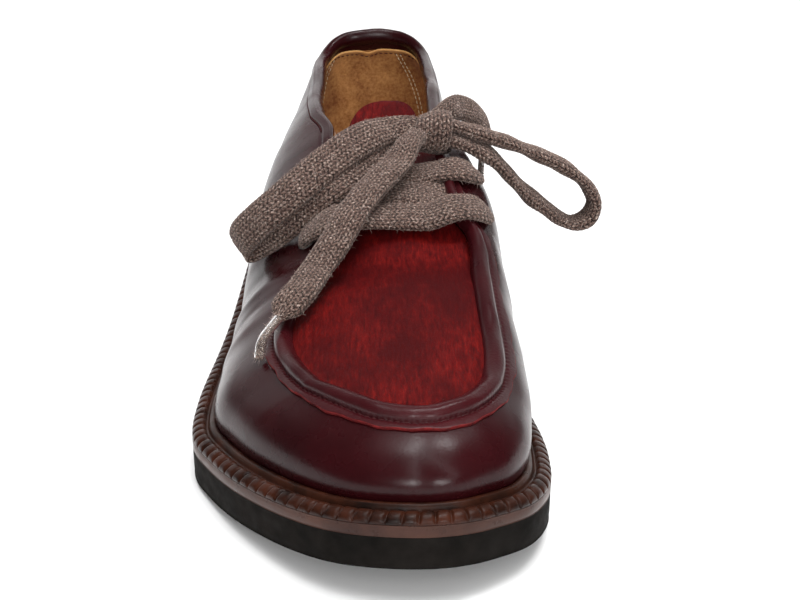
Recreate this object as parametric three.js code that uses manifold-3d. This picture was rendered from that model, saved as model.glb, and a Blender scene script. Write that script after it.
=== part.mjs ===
import * as THREE from 'three';
import { mergeVertices } from 'three/addons/utils/BufferGeometryUtils.js';
import Module from 'manifold-3d';

// A right lace-up shoe with an apron toe. Millimetres, +Z up, toe toward -Y, medial side toward +X.
// The origin is on the ground under the middle of the sole.

// Driving dimensions
const LENGTH = 300;
const BALL_WIDTH = 105;
const OUTSOLE_THICKNESS = 9;
const MIDSOLE_THICKNESS = 3;
const HEEL_HEIGHT = 17;
const TOE_SPRING = 10.5;
const UPPER_INSET = 7.6;
const FEATHER_HEIGHT = 3;
const INSTEP_HEIGHT = 62;
const WALL = 2.4;
const WALL_BULGE = 3;
const COLLAR_THICKNESS = 4.5;
const COLLAR_PADDING_DEPTH = 16;
const ROLL_WIDTH = 6.5;
const ROLL_HEIGHT = 2.6;
const APRON_THICKNESS = 2;
const APRON_RECESS = 0.4;
const TONGUE_THICKNESS = 2.2;
const TONGUE_TOP_RISE = 6;
const TONGUE_OVERLAP = 7;
const TONGUE_SIDE_GAP = 5;
const INSOLE_THICKNESS = 2.5;
const WELT_BEAD_HEIGHT = 4;
const WELT_EDGE_HEIGHT = 1.3;
const RIB_COUNT = 144;
const RIB_DEPTH = 0.7;
const EYELET_HOLE = 4.4;
const EYELET_FLANGE = 7;
const EYELET_BARREL = 0.7;
const EYELET_LIP = 0.8;
const LACE_WIDTH = 12;
const LACE_THICKNESS = 4;
const KNOT_SIZE = { x: 15, y: 17, z: 14 };
const AGLET_LENGTH = 15;
const AGLET_DIAMETER = 4.5;
const CLEARANCE = 0.3;
const LAYER_CLEARANCE = 1;
const WELD = 0.03;

// Where things sit along the shoe, as shares of its length from the heel
const HEEL_FAN = 0.10;
const TOE_FAN = 0.86;
const HEEL_BREAST = 0.25;
const HEEL_RISE_END = 0.24;
const WAIST_END = 0.62;
const SPRING_START = 0.70;
const ROLL_START = 0.52;
const ROLL_FULL = 0.60;
const COLLAR_END = 0.43;
const APRON_END = 0.60;
const TONGUE_TOP = 0.405;

// Derived heights above the ground line of the sole
const MIDSOLE_SEAT = OUTSOLE_THICKNESS + CLEARANCE;
const WELT_SEAT = OUTSOLE_THICKNESS + MIDSOLE_THICKNESS + CLEARANCE;
const FEATHER_LINE = OUTSOLE_THICKNESS + MIDSOLE_THICKNESS + FEATHER_HEIGHT;

// Outline of the outsole: shares of half the ball width (medial is positive) and of half the length
const OUTLINE = [
  { side: 0.114, back: 1.000 }, { side: -0.305, back: 0.970 }, { side: -0.600, back: 0.847 },
  { side: -0.705, back: 0.680 }, { side: -0.800, back: 0.480 }, { side: -0.855, back: 0.253 },
  { side: -0.910, back: 0.000 }, { side: -0.970, back: -0.233 }, { side: -1.000, back: -0.427 },
  { side: -0.971, back: -0.580 }, { side: -0.848, back: -0.683 }, { side: -0.657, back: -0.793 },
  { side: -0.381, back: -0.907 }, { side: -0.124, back: -0.973 }, { side: 0.190, back: -1.000 },
  { side: 0.438, back: -0.991 }, { side: 0.629, back: -0.957 }, { side: 0.815, back: -0.903 },
  { side: 0.939, back: -0.817 }, { side: 0.987, back: -0.713 }, { side: 1.000, back: -0.613 },
  { side: 0.979, back: -0.493 }, { side: 0.933, back: -0.333 }, { side: 0.857, back: -0.133 },
  { side: 0.790, back: 0.067 }, { side: 0.768, back: 0.300 }, { side: 0.790, back: 0.533 },
  { side: 0.829, back: 0.707 }, { side: 0.781, back: 0.867 }, { side: 0.524, back: 0.970 },
];

// Sections of the upper, heel to toe. ridge: share of the ball width. height: share of the instep
// height above the feather line. round: exponent of the side's curve. bulge: share of the wall's bulge.
// lean: how far the medial side leans out, share of the ball width. edge: how far out the collar, facing or
// apron seam lies, 0 at the ridge and 1 at the feather line.
const SECTIONS = [
  [0.000, 0.043, 1.660, 2.20, 2.20, 1.00, 1.00, 0.000, 0.800, 0.800],
  [0.050, 0.046, 1.550, 2.20, 2.30, 1.00, 1.00, 0.000, 0.780, 0.790],
  [0.100, 0.050, 1.310, 2.10, 2.40, 1.00, 1.00, 0.000, 0.720, 0.760],
  [0.167, 0.055, 1.210, 2.05, 2.70, 1.00, 1.00, 0.000, 0.660, 0.780],
  [0.233, 0.060, 1.130, 1.95, 3.40, 1.00, 1.00, 0.000, 0.600, 0.840],
  [0.300, 0.071, 1.082, 2.05, 3.80, 1.00, 1.00, 0.000, 0.580, 0.840],
  [0.367, 0.090, 1.040, 2.40, 3.80, 0.93, 1.00, 0.010, 0.550, 0.800],
  [0.430, 0.114, 1.000, 2.60, 3.60, 0.93, 1.17, 0.050, 0.460, 0.600],
  [0.480, 0.129, 0.997, 2.40, 4.20, 1.00, 1.33, 0.085, 0.460, 0.560],
  [0.540, 0.143, 0.977, 2.00, 4.60, 1.00, 1.40, 0.085, 0.465, 0.530],
  [0.600, 0.152, 0.910, 1.75, 5.00, 1.00, 1.50, 0.058, 0.465, 0.570],
  [0.635, 0.152, 0.855, 1.70, 5.00, 1.00, 1.50, 0.035, 0.470, 0.640],
  [0.660, 0.152, 0.806, 1.68, 5.00, 1.00, 1.50, 0.022, 0.500, 0.800],
  [0.690, 0.148, 0.745, 1.68, 4.80, 1.00, 1.43, 0.010, 0.590, 0.855],
  [0.720, 0.143, 0.685, 1.70, 4.40, 1.00, 1.33, 0.000, 0.650, 0.860],
  [0.760, 0.131, 0.606, 1.80, 3.80, 1.00, 1.27, 0.000, 0.685, 0.845],
  [0.790, 0.124, 0.548, 1.90, 3.30, 1.00, 1.17, 0.000, 0.690, 0.840],
  [0.830, 0.110, 0.484, 1.95, 2.90, 0.93, 1.07, 0.000, 0.680, 0.830],
  [0.860, 0.100, 0.439, 2.00, 2.60, 0.83, 1.00, 0.000, 0.655, 0.800],
  [0.900, 0.100, 0.392, 2.05, 2.40, 0.75, 0.90, 0.000, 0.645, 0.735],
  [0.950, 0.100, 0.325, 2.10, 2.20, 0.67, 0.75, 0.000, 0.640, 0.675],
  [1.000, 0.100, 0.258, 2.10, 2.10, 0.67, 0.67, 0.000, 0.640, 0.640],
];
const COLUMNS = ['along', 'ridge', 'height', 'lateralRound', 'medialRound', 'lateralBulge', 'medialBulge',
  'lean', 'lateralEdge', 'medialEdge'];

const clamp = THREE.MathUtils.clamp;
const lerp = THREE.MathUtils.lerp;

function smooth(from, to, value) {
  const t = clamp((value - from) / (to - from), 0, 1);
  return t * t * (3 - 2 * t);
}

// A curve through the values that never overshoots them
function throughValues(xs, ys) {
  const last = xs.length - 1;
  const slopes = xs.slice(1).map((x, i) => (ys[i + 1] - ys[i]) / (x - xs[i]));
  const tangents = xs.map((_, i) => {
    if (i === 0 || i === last) return slopes[i === 0 ? 0 : last - 1];
    const [before, after] = [slopes[i - 1], slopes[i]];
    return before * after > 0 ? (2 * before * after) / (before + after) : 0;
  });
  return (x) => {
    const value = clamp(x, xs[0], xs[last]);
    let i = 0;
    while (i < last - 1 && value > xs[i + 1]) i += 1;
    const step = xs[i + 1] - xs[i];
    const t = (value - xs[i]) / step;
    const rest = 1 - t;
    return ys[i] * (1 + 2 * t) * rest * rest + tangents[i] * step * t * rest * rest
      + ys[i + 1] * (3 - 2 * t) * t * t - tangents[i + 1] * step * t * t * rest;
  };
}

const section = {};
COLUMNS.forEach((name, column) => {
  section[name] = throughValues(SECTIONS.map((row) => row[0]), SECTIONS.map((row) => row[column]));
});

const shareOf = (y) => 0.5 - y / LENGTH;
const placeOf = (share) => (0.5 - share) * LENGTH;
const toeLift = (y) => TOE_SPRING * clamp((shareOf(y) - SPRING_START) / (1 - SPRING_START), 0, 1) ** 2;
const heelLift = (y) => HEEL_HEIGHT * smooth(WAIST_END, HEEL_RISE_END, shareOf(y));
const lift = (y) => toeLift(y) + heelLift(y);

// The outline as a closed line of evenly spaced points that fills the length and width exactly
function outlinePoints(count) {
  const knots = OUTLINE.map((p) => new THREE.Vector3(p.side * BALL_WIDTH / 2, p.back * LENGTH / 2, 0));
  const curve = new THREE.CatmullRomCurve3(knots, true, 'catmullrom', 0.5);
  curve.arcLengthDivisions = 2000;
  const points = curve.getSpacedPoints(count).slice(0, count);
  const box = new THREE.Box3().setFromPoints(points);
  const size = box.getSize(new THREE.Vector3());
  const centre = box.getCenter(new THREE.Vector3());
  return points.map((p) => new THREE.Vector2(
    (p.x - centre.x) * BALL_WIDTH / size.x, (p.y - centre.y) * LENGTH / size.y));
}

function outwardNormals(points) {
  const count = points.length;
  return points.map((_, i) => {
    const along = points[(i + 1) % count].clone().sub(points[(i + count - 1) % count]);
    return new THREE.Vector2(along.y, -along.x).normalize();
  });
}

const FINE_COUNT = 960;
const fineOutline = outlinePoints(FINE_COUNT);
const fineNormals = outwardNormals(fineOutline);

// The outline moved inward, as a closed line that can be read at any turn from 0 to 1, heel to heel
function insetLine(inset) {
  const points = fineOutline.map((p, i) => p.clone().addScaledVector(fineNormals[i], -inset));
  const normals = outwardNormals(points);
  const at = (turn) => {
    const place = (((turn % 1) + 1) % 1) * FINE_COUNT;
    const i = Math.floor(place) % FINE_COUNT;
    const next = (i + 1) % FINE_COUNT;
    const t = place - Math.floor(place);
    return {
      point: points[i].clone().lerp(points[next], t),
      normal: normals[i].clone().lerp(normals[next], t).normalize(),
    };
  };
  return { points, at };
}

// The turn at which the line crosses a place along the shoe, on one side
function turnAt(line, y, side) {
  const toe = line.points.reduce((best, p, i) => (p.y < line.points[best].y ? i : best), 0);
  const heel = line.points.reduce((best, p, i) => (p.y > line.points[best].y ? i : best), 0);
  const step = side === 'lateral' ? 1 : -1;
  let i = heel;
  while (i !== toe) {
    const next = (i + step + FINE_COUNT) % FINE_COUNT;
    const [a, b] = [line.points[i], line.points[next]];
    if (a.y >= y && b.y < y) return (i + step * (a.y - y) / (a.y - b.y)) / FINE_COUNT;
    i = next;
  }
  return toe / FINE_COUNT;
}

const footLine = insetLine(UPPER_INSET);

// A ray of the upper: from its foot on the feather line to the ridge
function rayAt(turn) {
  const { point: foot, normal } = footLine.at(turn);
  const along = shareOf(foot.y);
  const spine = clamp(along, HEEL_FAN, TOE_FAN);
  const centre = new THREE.Vector2(section.ridge(spine) * BALL_WIDTH, placeOf(spine));
  const reach = foot.distanceTo(centre);
  const medial = smooth(-1, 1, (foot.x - centre.x) / (0.35 * reach));
  const blend = (name) => lerp(section[`lateral${name}`](along), section[`medial${name}`](along), medial);
  return {
    along, foot, normal, centre, reach,
    round: blend('Round'), bulge: blend('Bulge') * WALL_BULGE, edge: blend('Edge'),
    lean: medial * section.lean(along) * BALL_WIDTH,
  };
}

// A point of the upper's outside, at a share of the way from the ridge to the feather line
function surfacePoint(turn, share) {
  const ray = rayAt(turn);
  const out = clamp(share, 0, 1);
  const rise = (1 - out ** ray.round) ** (1 / ray.round);
  const plan = ray.centre.clone().lerp(ray.foot, out);
  const base = FEATHER_LINE + lift(ray.foot.y);
  const ridge = FEATHER_LINE + lift(plan.y) + section.height(shareOf(plan.y)) * INSTEP_HEIGHT;
  plan.addScaledVector(ray.normal, ray.bulge * Math.sin(Math.PI * rise) + ray.lean * rise * out);
  return new THREE.Vector3(plan.x, plan.y, base + (ridge - base) * rise);
}

const TURN_STEP = 0.002;
const SHARE_STEP = 0.02;

function surfaceNormal(turn, share) {
  const near = clamp(share, 2 * SHARE_STEP, 1 - SHARE_STEP / 4);
  const outer = Math.min(near + SHARE_STEP, 1);
  const round = surfacePoint(turn + TURN_STEP, near).sub(surfacePoint(turn - TURN_STEP, near));
  const down = surfacePoint(turn, outer).sub(surfacePoint(turn, near - SHARE_STEP));
  return down.cross(round).normalize();
}

function ridgeNormal(y) {
  const height = (place) => FEATHER_LINE + lift(place) + section.height(shareOf(place)) * INSTEP_HEIGHT;
  return new THREE.Vector3(0, -(height(y + 1) - height(y - 1)) / 2, 1).normalize();
}

// A point off the upper's surface: moved out along its normal
function offPoint(turn, share, out) {
  const point = surfacePoint(turn, share);
  const normal = share <= 0 ? ridgeNormal(point.y) : surfaceNormal(turn, share);
  return point.addScaledVector(normal, out);
}

// Closed bodies. Shared corners are merged, empty faces dropped, and the faces turned outward.
function bodyFrom(corners, faces) {
  const raw = new THREE.BufferGeometry();
  const places = corners.flatMap((p) => [p.x, p.y, p.z]);
  raw.setAttribute('position', new THREE.Float32BufferAttribute(places, 3));
  raw.setIndex(faces.flat());
  const merged = mergeVertices(raw, 1e-3);
  const index = [...merged.index.array];
  const place = merged.attributes.position;
  const kept = [];
  let volume = 0;
  const [a, b, c] = [new THREE.Vector3(), new THREE.Vector3(), new THREE.Vector3()];
  for (let i = 0; i < index.length; i += 3) {
    const [p, q, r] = index.slice(i, i + 3);
    if (p === q || q === r || r === p) continue;
    kept.push([p, q, r]);
    a.fromBufferAttribute(place, p);
    b.fromBufferAttribute(place, q);
    c.fromBufferAttribute(place, r);
    volume += a.dot(b.cross(c)) / 6;
  }
  merged.setIndex(kept.flatMap(([p, q, r]) => (volume < 0 ? [p, r, q] : [p, q, r])));
  return merged;
}

const quad = (a, b, c, d) => [[a, b, c], [a, c, d]];

// A ring of equal profiles, closed both ways round
function ringBody(profiles) {
  const [count, size] = [profiles.length, profiles[0].length];
  const faces = [];
  for (let i = 0; i < count; i += 1) {
    const j = (i + 1) % count;
    for (let k = 0; k < size; k += 1) {
      const l = (k + 1) % size;
      faces.push(...quad(i * size + k, j * size + k, j * size + l, i * size + l));
    }
  }
  return bodyFrom(profiles.flat(), faces);
}

// A tube of equal closed sections with flat ends
function tubeBody(sections) {
  const [count, size] = [sections.length, sections[0].length];
  const faces = [];
  for (let i = 0; i < count - 1; i += 1) {
    for (let k = 0; k < size; k += 1) {
      const l = (k + 1) % size;
      faces.push(...quad(i * size + k, (i + 1) * size + k, (i + 1) * size + l, i * size + l));
    }
  }
  const end = (count - 1) * size;
  for (let k = 1; k < size - 1; k += 1) faces.push([0, k, k + 1], [end, end + k + 1, end + k]);
  return bodyFrom(sections.flat(), faces);
}

// A sheet between an upper and a lower grid of points. A folded grid meets itself along its last column.
function sheetBody(top, bottom, folded = false) {
  const [rows, size] = [top.length, top[0].length];
  const lower = rows * size;
  const faces = [];
  for (let i = 0; i < rows - 1; i += 1) {
    for (let k = 0; k < size - 1; k += 1) {
      const corners = [i * size + k, (i + 1) * size + k, (i + 1) * size + k + 1, i * size + k + 1];
      faces.push(...quad(...corners));
      faces.push(...quad(...corners.map((corner) => corner + lower).reverse()));
    }
  }
  const wall = (a, b) => faces.push(...quad(b, a, a + lower, b + lower));
  for (let i = 0; i < rows - 1; i += 1) {
    wall(i * size, (i + 1) * size);
    if (!folded) wall((i + 1) * size + size - 1, i * size + size - 1);
  }
  for (let k = 0; k < size - 1; k += 1) {
    wall(k + 1, k);
    wall((rows - 1) * size + k, (rows - 1) * size + k + 1);
  }
  return bodyFrom([...top.flat(), ...bottom.flat()], faces);
}

// A flat layer of the sole between two heights, as strips across it from heel to toe
function soleLayer({ inset = 0, from = 0, to = 1, strips = 40, low, high }) {
  const line = insetLine(inset);
  const ys = line.points.map((p) => p.y);
  const back = from > 0 ? placeOf(from) : Math.max(...ys);
  const front = to < 1 ? placeOf(to) : Math.min(...ys);
  const sections = [];
  for (let i = 0; i <= strips; i += 1) {
    const y = lerp(back, front, 0.5 - 0.5 * Math.cos(Math.PI * i / strips));
    const left = line.at(turnAt(line, y, 'lateral')).point.x;
    const right = line.at(turnAt(line, y, 'medial')).point.x;
    sections.push([
      new THREE.Vector3(left, y, low(y)), new THREE.Vector3(right, y, low(y)),
      new THREE.Vector3(right, y, high(y)), new THREE.Vector3(left, y, high(y)),
    ]);
  }
  return tubeBody(sections);
}

const above = (height) => (y) => height + lift(y);

const heelBlock = () => soleLayer({
  to: HEEL_BREAST, strips: 22, low: () => 0, high: () => HEEL_HEIGHT - CLEARANCE,
});
const outsole = () => soleLayer({ low: above(0), high: above(OUTSOLE_THICKNESS) });
const midsole = () => soleLayer({
  low: above(MIDSOLE_SEAT), high: above(WELT_SEAT - CLEARANCE),
});
const insole = () => soleLayer({
  inset: UPPER_INSET + WALL + LAYER_CLEARANCE,
  low: above(WELT_SEAT),
  high: above(WELT_SEAT + INSOLE_THICKNESS),
});

// Joining and cutting closed bodies
const wasm = await Module();
wasm.setup();

const solidOf = (geometry) => new wasm.Manifold(new wasm.Mesh({
  numProp: 3,
  vertProperties: new Float32Array(geometry.attributes.position.array),
  triVerts: new Uint32Array(geometry.index.array),
}));

function geometryOf(solid) {
  const mesh = solid.asOriginal().simplify(WELD).getMesh();
  const geometry = new THREE.BufferGeometry();
  geometry.setAttribute('position', new THREE.BufferAttribute(new Float32Array(mesh.vertProperties), 3));
  geometry.setIndex([...mesh.triVerts]);
  return geometry;
}

const joined = (bodies) => geometryOf(bodies.map(solidOf).reduce((sum, solid) => sum.add(solid)));
const without = (body, cutters) => geometryOf(
  cutters.map(solidOf).reduce((left, solid) => left.subtract(solid), solidOf(body)));

// The welt: a bead against the upper, a groove, and a band of ribs along the edge
function welt() {
  const inner = UPPER_INSET - CLEARANCE;
  const profile = [
    [inner, 0], [inner, FEATHER_HEIGHT - 0.4], [inner - 0.8, WELT_BEAD_HEIGHT],
    [inner - 2.2, WELT_BEAD_HEIGHT - 0.6], [inner - 2.9, 2.0], [inner - 3.5, 2.0], [inner - 3.9, 2.9],
  ];
  const lines = profile.map(([inset]) => insetLine(inset));
  const edge = insetLine(0);
  const size = profile.length;
  const corners = [];
  const faces = [];
  for (let i = 0; i < RIB_COUNT; i += 1) {
    profile.forEach(([, height], k) => {
      const { point } = lines[k].at(i / RIB_COUNT);
      corners.push(new THREE.Vector3(point.x, point.y, WELT_SEAT + height + lift(point.y)));
    });
  }
  // two corners to each rib along the edge, one on the crest and one in the notch
  const start = corners.length;
  for (let i = 0; i < 2 * RIB_COUNT; i += 1) {
    const { point, normal } = edge.at(i / (2 * RIB_COUNT));
    const notch = i % 2 ? RIB_DEPTH : 0;
    const cut = point.clone().addScaledVector(normal, -notch);
    corners.push(new THREE.Vector3(cut.x, cut.y, WELT_SEAT + WELT_EDGE_HEIGHT - notch / 2 + lift(point.y)));
    corners.push(new THREE.Vector3(cut.x, cut.y, WELT_SEAT + lift(point.y)));
  }
  for (let i = 0; i < RIB_COUNT; i += 1) {
    const j = (i + 1) % RIB_COUNT;
    for (let k = 0; k < size - 1; k += 1) {
      faces.push(...quad(i * size + k, j * size + k, j * size + k + 1, i * size + k + 1));
    }
    const [first, middle, last] = [0, 1, 2].map((n) => start + 2 * ((2 * i + n) % (2 * RIB_COUNT)));
    const [band, nextBand] = [i * size + size - 1, j * size + size - 1];
    faces.push([band, middle, first], [band, nextBand, middle], [nextBand, last, middle]);
    faces.push(...quad(first, middle, middle + 1, first + 1), ...quad(middle, last, last + 1, middle + 1));
    const [foot, nextFoot] = [i * size, j * size];
    faces.push([foot, first + 1, middle + 1], [foot, middle + 1, nextFoot]);
    faces.push([nextFoot, middle + 1, last + 1]);
  }
  return bodyFrom(corners, faces);
}

// How the edge of the upper is finished at a place: a padded collar, a plain facing or the apron roll.
// Each row is [how far toward the ridge, how far out], in millimetres.
function edgeFinish(along) {
  const collar = [[0.9, -0.5], [1.5, -COLLAR_THICKNESS / 2], [0.9, 0.6 - COLLAR_THICKNESS],
    [0, -COLLAR_THICKNESS]];
  const facing = [[0.5, -0.3], [0.8, -WALL / 2], [0.5, 0.3 - WALL], [0, -WALL]];
  const roll = [[0.2 * ROLL_WIDTH, 0.85 * ROLL_HEIGHT], [0.6 * ROLL_WIDTH, ROLL_HEIGHT],
    [ROLL_WIDTH, 0.3 * ROLL_HEIGHT], [ROLL_WIDTH, -WALL]];
  const toFacing = smooth(COLLAR_END - 0.06, COLLAR_END + 0.02, along);
  const toRoll = smooth(ROLL_START, ROLL_FULL, along);
  return collar.map((row, i) => row.map(
    (value, k) => lerp(lerp(value, facing[i][k], toFacing), roll[i][k], toRoll)));
}

const collarPadding = (along) => (COLLAR_THICKNESS - WALL)
  * (1 - smooth(COLLAR_END - 0.06, COLLAR_END + 0.02, along));

// Shares for levels evenly turned from the feather line up to the edge
function wallShares(ray, levels) {
  const full = Math.acos(ray.edge ** (ray.round / 2));
  return levels.map((level) => Math.cos(full * level) ** (2 / ray.round));
}

const WALL_LEVELS = [0, 0.16, 0.33, 0.5, 0.68, 0.85, 1];
const LINING_LEVELS = [1, 0.85, 0.68, 0.45, 0.2, 0];
const UPPER_RAYS = 104;

function upperShell() {
  const profiles = [];
  for (let i = 0; i < UPPER_RAYS; i += 1) {
    const turn = i / UPPER_RAYS;
    const ray = rayAt(turn);
    const seat = WELT_SEAT + lift(ray.foot.y);
    const lined = ray.foot.clone().addScaledVector(ray.normal, -WALL);
    const outside = wallShares(ray, WALL_LEVELS).map((share) => surfacePoint(turn, share));
    const edge = edgeFinish(ray.along)
      .map(([inward, out]) => offPoint(turn, ray.edge - inward / ray.reach, out));
    const rim = outside[outside.length - 1];
    const inside = wallShares(ray, LINING_LEVELS).map((share, k) => {
      const depth = rim.distanceTo(surfacePoint(turn, share));
      const padding = collarPadding(ray.along) * (1 - smooth(0, COLLAR_PADDING_DEPTH, depth));
      return offPoint(turn, share, LINING_LEVELS[k] === 0 ? 0 : -WALL - padding);
    });
    inside[inside.length - 1].set(lined.x, lined.y, outside[0].z);
    profiles.push([
      new THREE.Vector3(ray.foot.x, ray.foot.y, seat), ...outside, ...edge, ...inside,
      new THREE.Vector3(lined.x, lined.y, seat),
    ]);
  }
  return ringBody(profiles);
}

// Depth of the apron's face under the upper's face: set in the roll in front, under the facings behind
const UNDER_FACING = WALL + LAYER_CLEARANCE;
const apronDepth = (along) => lerp(UNDER_FACING, APRON_RECESS, smooth(0.68, 0.74, along));

function apronEdge(ray) {
  const inRoll = ray.edge - (ROLL_WIDTH + CLEARANCE) / ray.reach;
  const rollShare = smooth(ROLL_START, ROLL_FULL, ray.along);
  return lerp(ray.edge, inRoll, rollShare);
}

function apron() {
  const levels = [1, 0.72, 0.42, 0];
  const stations = [APRON_END, 0.635, 0.67, 0.70, 0.735, 0.77, 0.815, TOE_FAN];
  const turns = stations.map((share) => turnAt(footLine, placeOf(share), 'lateral'));
  const medialTurns = stations.map((share) => turnAt(footLine, placeOf(share), 'medial')).reverse();
  const [start, end] = [turns[turns.length - 1], medialTurns[0]];
  const fan = 22;
  for (let i = 1; i < fan; i += 1) turns.push(lerp(start, end, i / fan));
  turns.push(...medialTurns);
  const face = (depth) => turns.map((turn) => {
    const ray = rayAt(turn);
    return levels.map((level) => {
      const share = apronEdge(ray) * level;
      return offPoint(turn, share, -apronDepth(shareOf(surfacePoint(turn, share).y)) - depth);
    });
  });
  return sheetBody(face(0), face(APRON_THICKNESS), true);
}

// The tongue: under the facings, from the apron to a rounded top that stands above the laces
function tongue() {
  const rows = [0, 0.16, 0.34, 0.52, 0.68, 0.80, 0.90, 0.97, 1];
  const across = [-1, -0.8, -0.55, -0.28, 0, 0.28, 0.55, 0.8, 1];
  const back = APRON_END - 2 * CLEARANCE / LENGTH;
  const face = (depth) => rows.map((row) => {
    const along = lerp(back, TONGUE_TOP, row);
    const rounding = Math.sqrt(1 - clamp((row - 0.8) / 0.2, 0, 1) ** 2 * 0.75);
    const rise = TONGUE_TOP_RISE * smooth(0.66, 1, row);
    return across.map((place) => {
      const turn = turnAt(footLine, placeOf(along), place < 0 ? 'lateral' : 'medial');
      const ray = rayAt(turn);
      const leaving = smooth(0.45, 0.72, row);
      const under = lerp(TONGUE_OVERLAP * smooth(0, 0.3, row), -TONGUE_SIDE_GAP, leaving);
      const roll = ROLL_WIDTH * smooth(ROLL_START, ROLL_FULL, along) + CLEARANCE;
      const reach = ray.edge + (lerp(-roll, 0, smooth(0, 0.3, row)) + under) / ray.reach;
      const point = offPoint(turn, Math.abs(place) * reach * rounding, -UNDER_FACING - depth);
      point.z += rise;
      return point;
    });
  });
  return sheetBody(face(0), face(TONGUE_THICKNESS));
}

// A spot over the instep: place runs from -1 at the lateral feather line to 1 at the medial one
function spotOver(along, place, out) {
  const turn = turnAt(footLine, placeOf(along), place < 0 ? 'lateral' : 'medial');
  const share = Math.abs(place);
  const point = offPoint(turn, share, out);
  const face = share < 2 * SHARE_STEP ? ridgeNormal(point.y) : surfaceNormal(turn, share);
  return { point, face };
}

// Eyelets: where each sits on the facings, along the shoe and across the instep
const EYELETS = {
  lateral_front: { along: 0.622, place: -0.540 },
  lateral_back: { along: 0.545, place: -0.550 },
  medial_front: { along: 0.612, place: 0.780 },
  medial_back: { along: 0.543, place: 0.720 },
};
const EYELET_SIDES = 12;

// A body turned round a line through a spot of the upper: profile rows are [radius, height]
function turnedBody(profile, { point, face }) {
  const round = new THREE.Quaternion().setFromUnitVectors(new THREE.Vector3(0, 0, 1), face);
  const profiles = [];
  for (let i = 0; i < EYELET_SIDES; i += 1) {
    const angle = 2 * Math.PI * i / EYELET_SIDES;
    profiles.push(profile.map(([radius, height]) => new THREE.Vector3(
      radius * Math.cos(angle), radius * Math.sin(angle), height).applyQuaternion(round).add(point)));
  }
  return ringBody(profiles);
}

function eyelet({ along, place }) {
  const bore = EYELET_HOLE / 2;
  const barrel = bore + EYELET_BARREL;
  const top = CLEARANCE + EYELET_LIP;
  return turnedBody([
    [bore, -WALL], [barrel, -WALL], [barrel, CLEARANCE], [EYELET_FLANGE / 2, CLEARANCE],
    [EYELET_FLANGE / 2 - 0.3, top], [bore + 0.3, top],
  ], spotOver(along, place, 0));
}

function eyeletHole({ along, place }) {
  const radius = EYELET_HOLE / 2 + EYELET_BARREL + CLEARANCE;
  return turnedBody([[0, -2 * WALL], [radius, -2 * WALL], [radius, WALL], [0, WALL]],
    spotOver(along, place, 0));
}

// A length of flat lace. Each stop has a point, the way the lace's width runs there, and maybe its width.
function laceBody(stops, swell = 0) {
  return tubeBody(stops.map(({ point, across, width = LACE_WIDTH, thickness = LACE_THICKNESS }, i) => {
    const before = stops[Math.max(i - 1, 0)].point;
    const after = stops[Math.min(i + 1, stops.length - 1)].point;
    const along = after.clone().sub(before).normalize();
    const up = across.clone().cross(along).normalize();
    const side = along.clone().cross(up);
    const [w, t] = [width / 2 + swell, thickness / 2 + swell];
    const corners = [[w, -t / 2], [w, t / 2], [w - t / 2, t], [t / 2 - w, t],
      [-w, t / 2], [-w, -t / 2], [t / 2 - w, -t], [w - t / 2, -t]];
    return corners.map(([x, z]) => point.clone().addScaledVector(side, x).addScaledVector(up, z));
  }));
}

// A stretch of lace laid over the instep: rows are [place across, along, out from the upper, width]
function laceOver(rows, count, swell = 0) {
  const places = rows.map((row) => row[0]);
  const [along, out, width] = [1, 2, 3].map((k) => throughValues(places, rows.map((row) => row[k])));
  const stops = [];
  for (let i = 0; i <= count; i += 1) {
    const place = lerp(places[0], places[places.length - 1], i / count);
    stops.push({ ...spotOver(along(place), place, out(place)), width: width(place) });
  }
  return laceBody(stops.map((stop, i) => {
    const next = stops[Math.min(i + 1, count)].point.clone().sub(stops[Math.max(i - 1, 0)].point);
    return { ...stop, across: next.cross(stop.face).normalize() };
  }), swell);
}

const OVER_EYELET = CLEARANCE + EYELET_LIP + LAYER_CLEARANCE + LACE_THICKNESS / 2;
const OVER_ROLL = ROLL_HEIGHT + CLEARANCE + LACE_THICKNESS / 2;
const OVER_TONGUE = CLEARANCE + LACE_THICKNESS / 2 - UNDER_FACING;

function laceBars(swell = 0) {
  const wide = LACE_WIDTH;
  const front = laceOver([
    [-0.53, 0.624, OVER_EYELET, 0.6 * wide], [-0.48, 0.626, OVER_EYELET + 0.7, 0.9 * wide],
    [-0.41, 0.630, OVER_ROLL, wide], [-0.32, 0.633, OVER_ROLL, wide], [-0.22, 0.636, 2, wide],
    [-0.05, 0.640, 0, wide], [0.18, 0.643, 0.6, wide], [0.33, 0.643, OVER_ROLL, wide],
    [0.50, 0.642, OVER_ROLL, wide], [0.64, 0.630, OVER_ROLL, wide],
    [0.75, 0.620, OVER_EYELET, 0.9 * wide],
  ], 20, swell);
  const back = laceOver([
    [-0.55, 0.556, OVER_EYELET, 0.6 * wide], [-0.46, 0.560, 4.6, wide], [-0.36, 0.560, 4.4, wide],
    [-0.22, 0.560, 0, wide], [0, 0.562, OVER_TONGUE, wide], [0.14, 0.562, OVER_TONGUE, wide],
    [0.24, 0.562, 2, wide], [0.33, 0.562, 4.4, wide], [0.54, 0.560, 4.4, wide],
    [0.72, 0.554, OVER_EYELET, 0.9 * wide],
  ], 18, swell);
  const crossings = [-1, 1].map((side) => laceOver([
    [-0.26, 0.598 + side * 0.020, OVER_TONGUE, wide], [0, 0.600, OVER_TONGUE, wide],
    [0.08, 0.600 - side * 0.018, OVER_TONGUE, wide],
  ], 4, swell));
  return joined([front, back, ...crossings]);
}

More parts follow.
